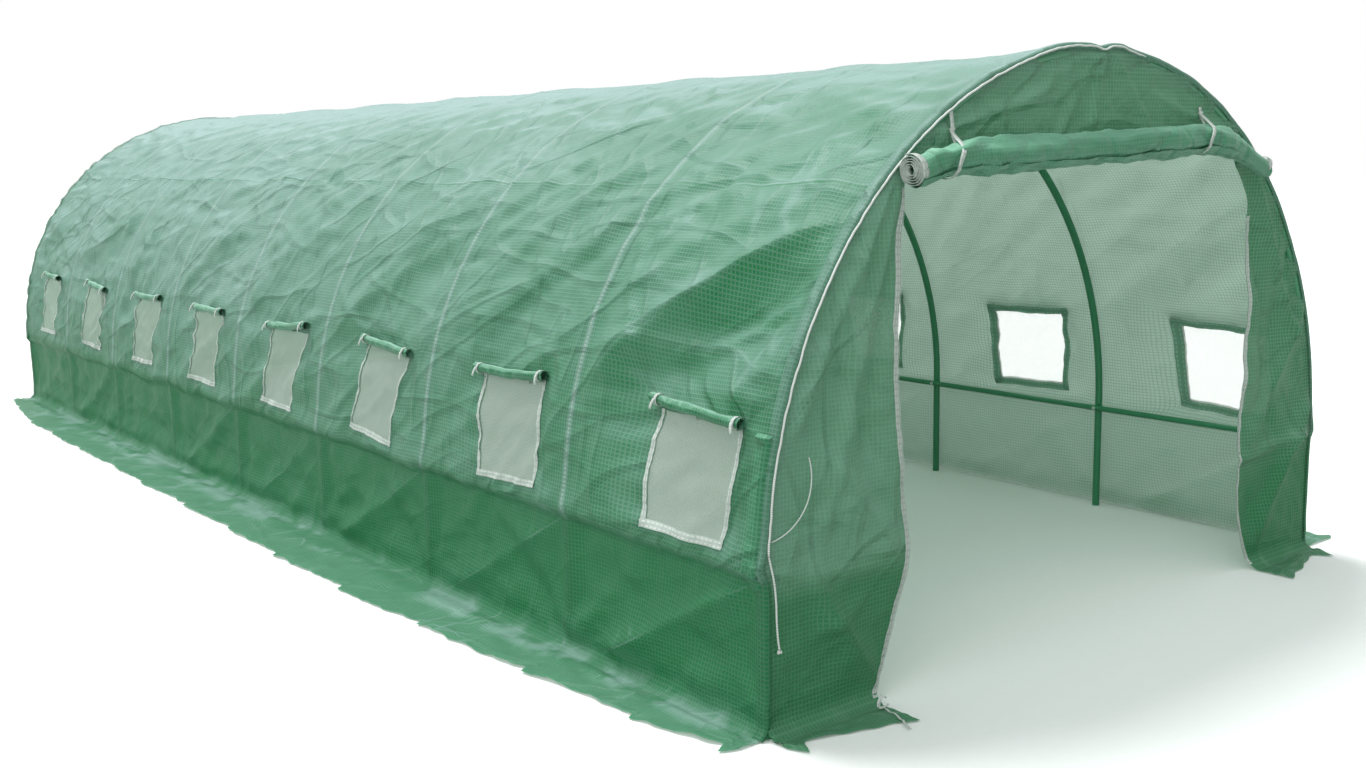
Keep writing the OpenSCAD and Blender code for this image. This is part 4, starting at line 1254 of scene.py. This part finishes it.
def make_flaps(side, word):
    """Rolled-up flaps, each tied near both ends by a strap with a loose end that hangs down."""
    rolls, ties = [], []
    t = np.linspace(-1, 1, 30)
    for k in range(len(WINDOW_YS)):
        base, out, up = flap_line(k, side, len(t))
        size = FLAP_R * (1.0 - 0.16 * swell(np.abs(t) - 0.86, 0.07) + 0.06 * gradient_noise(t * 4 + k, t * 0, 171))
        rolls.append(patch(*rolled(base, up, out, 0.0015, size, turns=4, steps=18, start=-2.0 + 0.6 * side, lump=0.22,
                                   seed=181 + 4 * k + side)))
        for i, sign in ((2, -1), (27, 1)):
            turn = np.linspace(0.2, 2 * np.pi + 0.5, 26)[:, None]
            loop = base[i] + (FLAP_R * 0.98 + 0.0015) * (np.cos(turn) * out[i] + np.sin(turn) * up[i])
            ties.append(ribbon(loop, 0.013, (0, 1, 0)))
            down = np.linspace(0, 1, 8)[:, None] * (up[i] * -0.034 + np.array((0, sign * 0.010, 0)))
            curl = np.sin(np.linspace(0, 3, 8))[:, None] * out[i] * 0.003
            ties.append(ribbon(base[i] + out[i] * (FLAP_R + 0.004) + down + curl, 0.010, (0, 1, 0.2)))
    roll = joined(f"{word}_rolled_flaps", rolls, FLAP_SHEET, (f"{word}_flap_rolls",))
    tie = joined(f"{word}_flap_ties", ties, WHITE_TAPE)
    return [roll, tie]


# ---- the rolled-up door, its zip ends and its two ties ----
ROLL_Y = 0.5 * (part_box("front_door_roll")[0].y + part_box("front_door_roll")[1].y)
ROLL_R = 0.055
# Each tie: its place along the roll, how far it leans to the side, and the height it is sewn on at.
TIES = ((-0.818, 0.073, 1.786), (0.500, 0.085, 1.805))
TIE_SWAY, TIE_DROP = -0.014, 0.045                 # how the loose end of a tie hangs


def roll_frames(x):
    z = curve_at(ROLL_LINE, x)
    slope = np.gradient(z, x)
    centre = np.stack([x, np.full_like(x, ROLL_Y), z], -1)
    up = np.stack([-slope, 0 * x, np.ones_like(x)], -1)
    up /= np.linalg.norm(up, axis=1)[:, None]
    out = np.broadcast_to(np.array((0.0, -1.0, 0.0)), centre.shape)
    return centre, up, out


def roll_size(x):
    """The roll's size along its length: thinner at the left end, slack towards the right, drawn in by the ties."""
    size = ROLL_R * (1 - 0.16 * swell(x + 0.965, 0.14) - 0.42 * soft_step(x, 0.55, 0.95)
                     + 0.05 * gradient_noise(x * 3.1, x * 0, 191))
    for tie, _, _ in TIES:
        size = size - 0.006 * swell(x - tie, 0.035)
    return size


def make_door_roll():
    x = np.concatenate([np.linspace(-0.968, -0.55, 24)[:-1], np.linspace(-0.55, 0.55, 44)[:-1],
                        np.linspace(0.55, 0.950, 26)])
    centre, up, out = roll_frames(x)
    points, cloth = rolled(centre, up, out, 0.010, roll_size(x), turns=8, steps=28, start=-0.55, lump=0.24, seed=201)
    limp = soft_step(x, 0.58, 0.95)[:, None]
    points[..., 2] -= 0.012 * limp * np.sin(np.linspace(0, 9, points.shape[1]))[None, :] ** 2
    return piece("rolled_up_door", points, grid_quads(*points.shape[:2]), ROLL_SHEET, cloth,
                 ("front_door_roll",))


COIL_TURNS, COIL_IN = 5, 0.012


def make_roll_ends():
    """The zip tape on the door's two edges, wound in with it: a pale coil at each end of the roll."""
    parts = []
    for end, x0, reach in ((LEFT, -0.957, 0.026), (RIGHT, 0.930, 0.009)):
        centre, up, out = roll_frames(np.array([x0 - 0.002, x0, x0 + 0.002]))
        phi = np.linspace(0, COIL_TURNS * 2 * np.pi, COIL_TURNS * 26 + 1)
        size = COIL_IN + (roll_size(np.array([x0]))[0] + 0.003 - COIL_IN) * phi / phi[-1]
        size = size * (1 + 0.05 * gradient_noise(np.cos(phi) * 1.5 + 3, phi * 0.2, 207))
        line = centre[1] + size[:, None] * (np.cos(phi + 2.0)[:, None] * out[1] + np.sin(phi + 2.0)[:, None] * up[1])
        uneven = 0.007 * np.abs(gradient_noise(phi * 0.35, phi * 0, 209))
        line[:, 0] += end * (0.004 + uneven + 0.006 * (1 - phi / phi[-1]))
        parts.append(ribbon(line, reach, (1, 0, 0), 0.0016))
    return joined("door_zip_coils", parts, ZIP_TAPE)


def make_door_ties():
    """Two straps from the sheet above the door, each round the roll and knotted over it, with a hanging end."""
    parts = []
    r = ROLL_R - 0.002
    turn = np.linspace(1.15, -2.9, 26)
    for tie, lean, top in TIES:
        centre = roll_frames(np.array([tie - 0.01, tie, tie + 0.01]))[0][1]
        wrap = np.stack([tie + 0.60 * lean * np.clip(np.sin(turn), 0, 1), centre[1] - r * np.cos(turn),
                         centre[2] + r * np.sin(turn)], -1)
        first = [(tie + lean, -END_Y - 0.006, top), (tie + lean * 0.98, -END_Y - 0.014, top - 0.045),
                 (tie + lean * 0.86, -END_Y - 0.022, centre[2] + r + 0.030)]
        path = smooth_path(np.concatenate([first, wrap[::2]]), 70)
        parts.append(ribbon(path, 0.016, (1, 0, 0.1), 0.0014))
        knot = path[np.argmin(np.abs(path[:20, 2] - (centre[2] + r + 0.04)))]
        tail = smooth_path([knot + (0, -0.003, 0.002), knot + (TIE_SWAY * 0.6, -0.010, -TIE_DROP * 0.35),
                            knot + (TIE_SWAY, -0.030, -TIE_DROP)], 14)
        parts.append(ribbon(tail, 0.011, (1, 0, 0.3), 0.0014))
        bow, faces = tube(knot + np.linspace(-1, 1, 6)[:, None] * np.array((0.009, 0.0, 0.002)), 0.006)
        parts.append((bow, faces, np.zeros((len(bow), 2))))
    return joined("door_tie_straps", parts, WHITE_TAPE, ("door_ties",))


# ---- back end: two panels and a closed door, zipped together ----
BACK_ZIP_X, BACK_ZIP_HALF = 0.963, 0.018           # the two zips' places, and half of their tape's width


def back_point(x, z, lift=0.0, ground=0.0):
    loose = 0.35 * swell(np.abs(x) - 0.96, 0.12)
    out = end_lift(x, z, loose, 231)
    for ends_a, ends_b, high, wide in END_FOLDS[:8]:
        d, run = along_segment(x, z, (ends_a, ends_b))
        out = out + BACK_SHARE * high * fade_ends(run, 0.15) * swell(d, wide)
    from_edge = np.minimum(END_R - np.hypot(x, np.clip(z - LEG, 0, None)), END_R - np.abs(x))
    near = soft_step(from_edge, 0.0, 0.10)
    out = out * near * soft_step(z, 0.0, 0.10) + lift
    foot = FOOT_BEND * np.clip(1 - z / FOOT_BEND, 0, 1) ** 2
    reach = 0.125 + 0.020 * gradient_noise(x / 0.3, x * 0, 237) + 0.010 * gradient_noise(x / 0.08, x * 0, 239)
    reach = reach * soft_step(RADIUS + 0.03 - np.abs(x), 0.0, 0.25)
    wave = 0.004 + 0.014 * np.abs(gradient_noise(x / 0.15, ground * 2, 241)) * soft_step(ground, 0, 0.3)
    return np.stack([x, END_Y + out + foot + ground * reach, z + wave * soft_step(-z, -0.05, 0.0)], -1)


def slider(at):
    """A zip's slider with its hanging pull."""
    outline = ((0.007, 0.012, -1), (0.007, 0.012, 1), (0.008, 0.0, 1), (0.005, -0.012, 1), (0.005, -0.012, -1),
               (0.008, 0.0, -1))
    body = [at + np.array((sx * wx, k * 0.007, h)) for k in (0, 1) for wx, h, sx in outline]
    faces = [[0, 1, 2, 3, 4, 5], [11, 10, 9, 8, 7, 6]] + [[i, i + 6, (i + 1) % 6 + 6, (i + 1) % 6] for i in range(6)]
    line = at + np.stack([np.zeros(6), 0.009 + 0 * np.arange(6), 0.006 - 0.009 * np.arange(6)], -1)
    pull, strip, _ = ribbon(line, 0.008, (1, 0, 0), 0.002)
    points, both = merged([(body, faces), (pull, strip)])
    return points, both, np.zeros((len(points), 2))


def make_back():
    z = np.concatenate([np.zeros(8), lines([0.0, LEG], 0.022),
                        LEG + END_R * np.sin(np.radians(np.linspace(0.9, 88.6, 64)))])
    ground = np.concatenate([np.linspace(1, 0.12, 8), np.zeros(len(z) - 8)])
    u = np.linspace(-1, 1, 131)
    x = outline_x(z)[:, None] * u[None, :]
    zz = np.broadcast_to(z[:, None], x.shape)
    gg = np.broadcast_to(ground[:, None], x.shape)
    cloth = np.stack([x, zz - END_HEM * gg], -1)
    sheet = piece("back_end_sheet", back_point(x, zz, 0.0, gg), grid_quads(len(z), len(u))[:, ::-1], END_SHEET,
                  cloth, ("back_left_panel", "back_right_panel", "back_door_panel", "back_skirt"))
    parts, teeth = [], []
    for side in (LEFT, RIGHT):
        zip_x = side * BACK_ZIP_X
        t, w = np.meshgrid(np.linspace(0.012, 1.60, 110), np.linspace(-1, 1, 7), indexing="ij")
        face = back_point(zip_x + BACK_ZIP_HALF * w, t, 0.0018)
        parts.append(patch(face, np.stack([0.5 + 0.5 * w, t], -1), flipped=True))
        up = np.linspace(0.02, 1.59, 270)
        teeth += tooth_row(back_point(np.full(len(up), zip_x), up, 0.0022), np.array((0, 1.0, 0)), 0.0060)
        teeth.append(slider(back_point(np.array([zip_x]), np.array([0.06]), 0.004)[0]))
    tape = joined("back_zip_tapes", parts, ZIP_TAPE, ("back_zips",))
    row = joined("back_zip_teeth", teeth, ZIP_TEETH, smooth=False)
    return sheet, [tape, row]


# ---- bolts where the lengthwise tubes cross the hoops ----
# Each bolt's washer and its six-sided head: sides, radius, and the heights of base and top.
BOLT_RINGS = ((16, 0.0085, 0.0, 0.0022), (6, 0.0062, 0.0022, 0.0070))
BOLT_EDGE, BOLT_TOP = 0.0008, 0.86                 # depth of the worn edge, and the top's share of the radius


def make_bolts():
    parts = []
    for name in PURLIN_NAMES:
        low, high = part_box(name)
        middle = 0.5 * (low + high)
        radius = 0.5 * (high.z - low.z)
        out = np.array((middle.x, 0, max(middle.z - LEG, 0.0)))
        out = -out / np.linalg.norm(out)
        side = np.array((0, 1.0, 0))
        third = np.cross(out, side)
        for y in HOOPS:
            centre = np.array((middle.x, y, middle.z)) + out * (radius - 0.0008)
            for sides, size, base, top in BOLT_RINGS:
                turn = np.linspace(0, 2 * np.pi, sides, endpoint=False)
                ring = np.cos(turn)[:, None] * side + np.sin(turn)[:, None] * third
                points = np.concatenate([centre + ring * size + out * base,
                                         centre + ring * size + out * (top - BOLT_EDGE),
                                         centre + ring * size * BOLT_TOP + out * top])
                faces = ring_faces(3, sides) + [[2 * sides + i for i in range(sides)], list(range(sides))[::-1]]
                parts.append((points, faces))
    points, faces = merged(parts)
    return piece("crossing_bolts", points, faces, ZINC, smooth=False)


def flat_area(made):
    """Area of a sheet laid flat, from the measure of its cloth."""
    flat = np.zeros(2 * len(made.data.loops))
    made.data.uv_layers["cloth"].data.foreach_get("uv", flat)
    a, b, c, d = np.moveaxis(flat.reshape(-1, 4, 2), 1, 0)
    return float(np.sum(np.abs((c - a)[:, 0] * (d - b)[:, 1] - (c - a)[:, 1] * (d - b)[:, 0])) / 2)


ON_FRONT = make_front_zips() + make_foot_hook()
ON_COVER = [make_end_hems(), make_hem_cords(), make_pleat()]
for way, word in ((LEFT, "left"), (RIGHT, "right")):
    ON_COVER += [make_nets(way, word), make_tapes(way, word), make_hems(way, word)] + make_flaps(way, word)
DOOR_ROLL = make_door_roll()
ON_ROLL = [make_roll_ends(), make_door_ties()]
BACK, ON_BACK = make_back()
make_bolts()

flat_area(COVER)
flat_area(FRONT)
flat_area(BACK)


# ---- tubes keep their solids ----
for name in HOOP_NAMES + PURLIN_NAMES:
    NODES[name].data.materials.clear()
    NODES[name].data.materials.append(TUBE_PAINT)


# ---- light, floor and background ----
# Each light: its strength, how wide it spreads in degrees, and the way it points.
LIGHTS = {"soft_overhead_sun": (2.8, 24, (0.05, -0.42, -0.90)), "soft_side_fill": (0.95, 50, (0.80, 0.34, -0.50))}
SKY_TINT, WHITE, FLOOR_TINTS = "#f1f8f7", "#ffffff", ("#f4f5f4", "#f8f8f7")
FLOOR_UNSEEN = "#8d938e"                           # the floor's shade in the light it sends back
FLOOR_HALF, FLOOR_DROP = 60, 0.001


def looked_at(tree):
    """1 for what the eye sees, straight or by way of a gloss or a clear thing; 0 for what only sends light."""
    path = put(tree, "LightPath")
    seen = path.outputs["Is Camera Ray"]
    for ray in ("Is Glossy Ray", "Is Transmission Ray"):
        seen = put(tree, "Math", (seen, path.outputs[ray]), operation="MAXIMUM")
    return seen


def studio():
    scene = bpy.context.scene
    scene.view_settings.view_transform = "Standard"
    world = bpy.data.worlds.new("white_studio")
    world.use_nodes = True
    scene.world = world
    tree = world.node_tree
    tree.nodes.clear()
    way = put(tree, "SeparateXYZ", [put(tree, "TexCoord").outputs["Generated"]])
    softbox = put(tree, "MapRange", (way.outputs["Z"], 0.05, 0.95, 0.40, 0.95))
    leftward = put(tree, "MapRange", (way.outputs["X"], -1.0, 1.0, 1.12, 0.88))
    softbox = put(tree, "Math", (softbox, leftward), operation="MULTIPLY")
    sky = put(tree, "Background", {"Color": ink(SKY_TINT), "Strength": softbox})
    white = put(tree, "Background", {"Color": ink(WHITE), "Strength": 1.0})
    put(tree, "OutputWorld", {"Surface": put(tree, "MixShader", (looked_at(tree), sky, white))})
    for name, (energy, spread, aim) in LIGHTS.items():
        lamp = bpy.data.lights.new(name, "SUN")
        lamp.energy = energy
        lamp.angle = math.radians(spread)
        sun = bpy.data.objects.new(name, lamp)
        sun.rotation_euler = Vector(aim).to_track_quat("-Z", "Y").to_euler()
        scene.collection.objects.link(sun)
    made, tree = new_material("pale_studio_floor")
    place = put(tree, "NewGeometry").outputs["Position"]
    grain = put(tree, "TexNoise", {"Vector": place, "Scale": 30.0, "Detail": 2.0})
    shade = put(tree, "Mix", {0: grain, 6: ink(FLOOR_TINTS[0]), 7: ink(FLOOR_TINTS[1])}, data_type="RGBA")
    shade = put(tree, "Mix", {0: looked_at(tree), 6: ink(FLOOR_UNSEEN), 7: shade}, data_type="RGBA")
    finish_material(tree, put(tree, "BsdfPrincipled", {"Base Color": shade, "Roughness": 0.9}))
    mesh = bpy.data.meshes.new("studio_floor")
    corners = ((-1, -1), (1, -1), (1, 1), (-1, 1))
    mesh.from_pydata([(x * FLOOR_HALF, y * FLOOR_HALF, -FLOOR_DROP) for x, y in corners], [], [(0, 1, 2, 3)])
    mesh.materials.append(made)
    floor = bpy.data.objects.new("studio_floor", mesh)
    scene.collection.objects.link(floor)
    floor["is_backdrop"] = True


studio()

low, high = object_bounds()
{"cad": [list(CAD_LOW), list(CAD_HIGH)], "visual": [list(low), list(high)]}
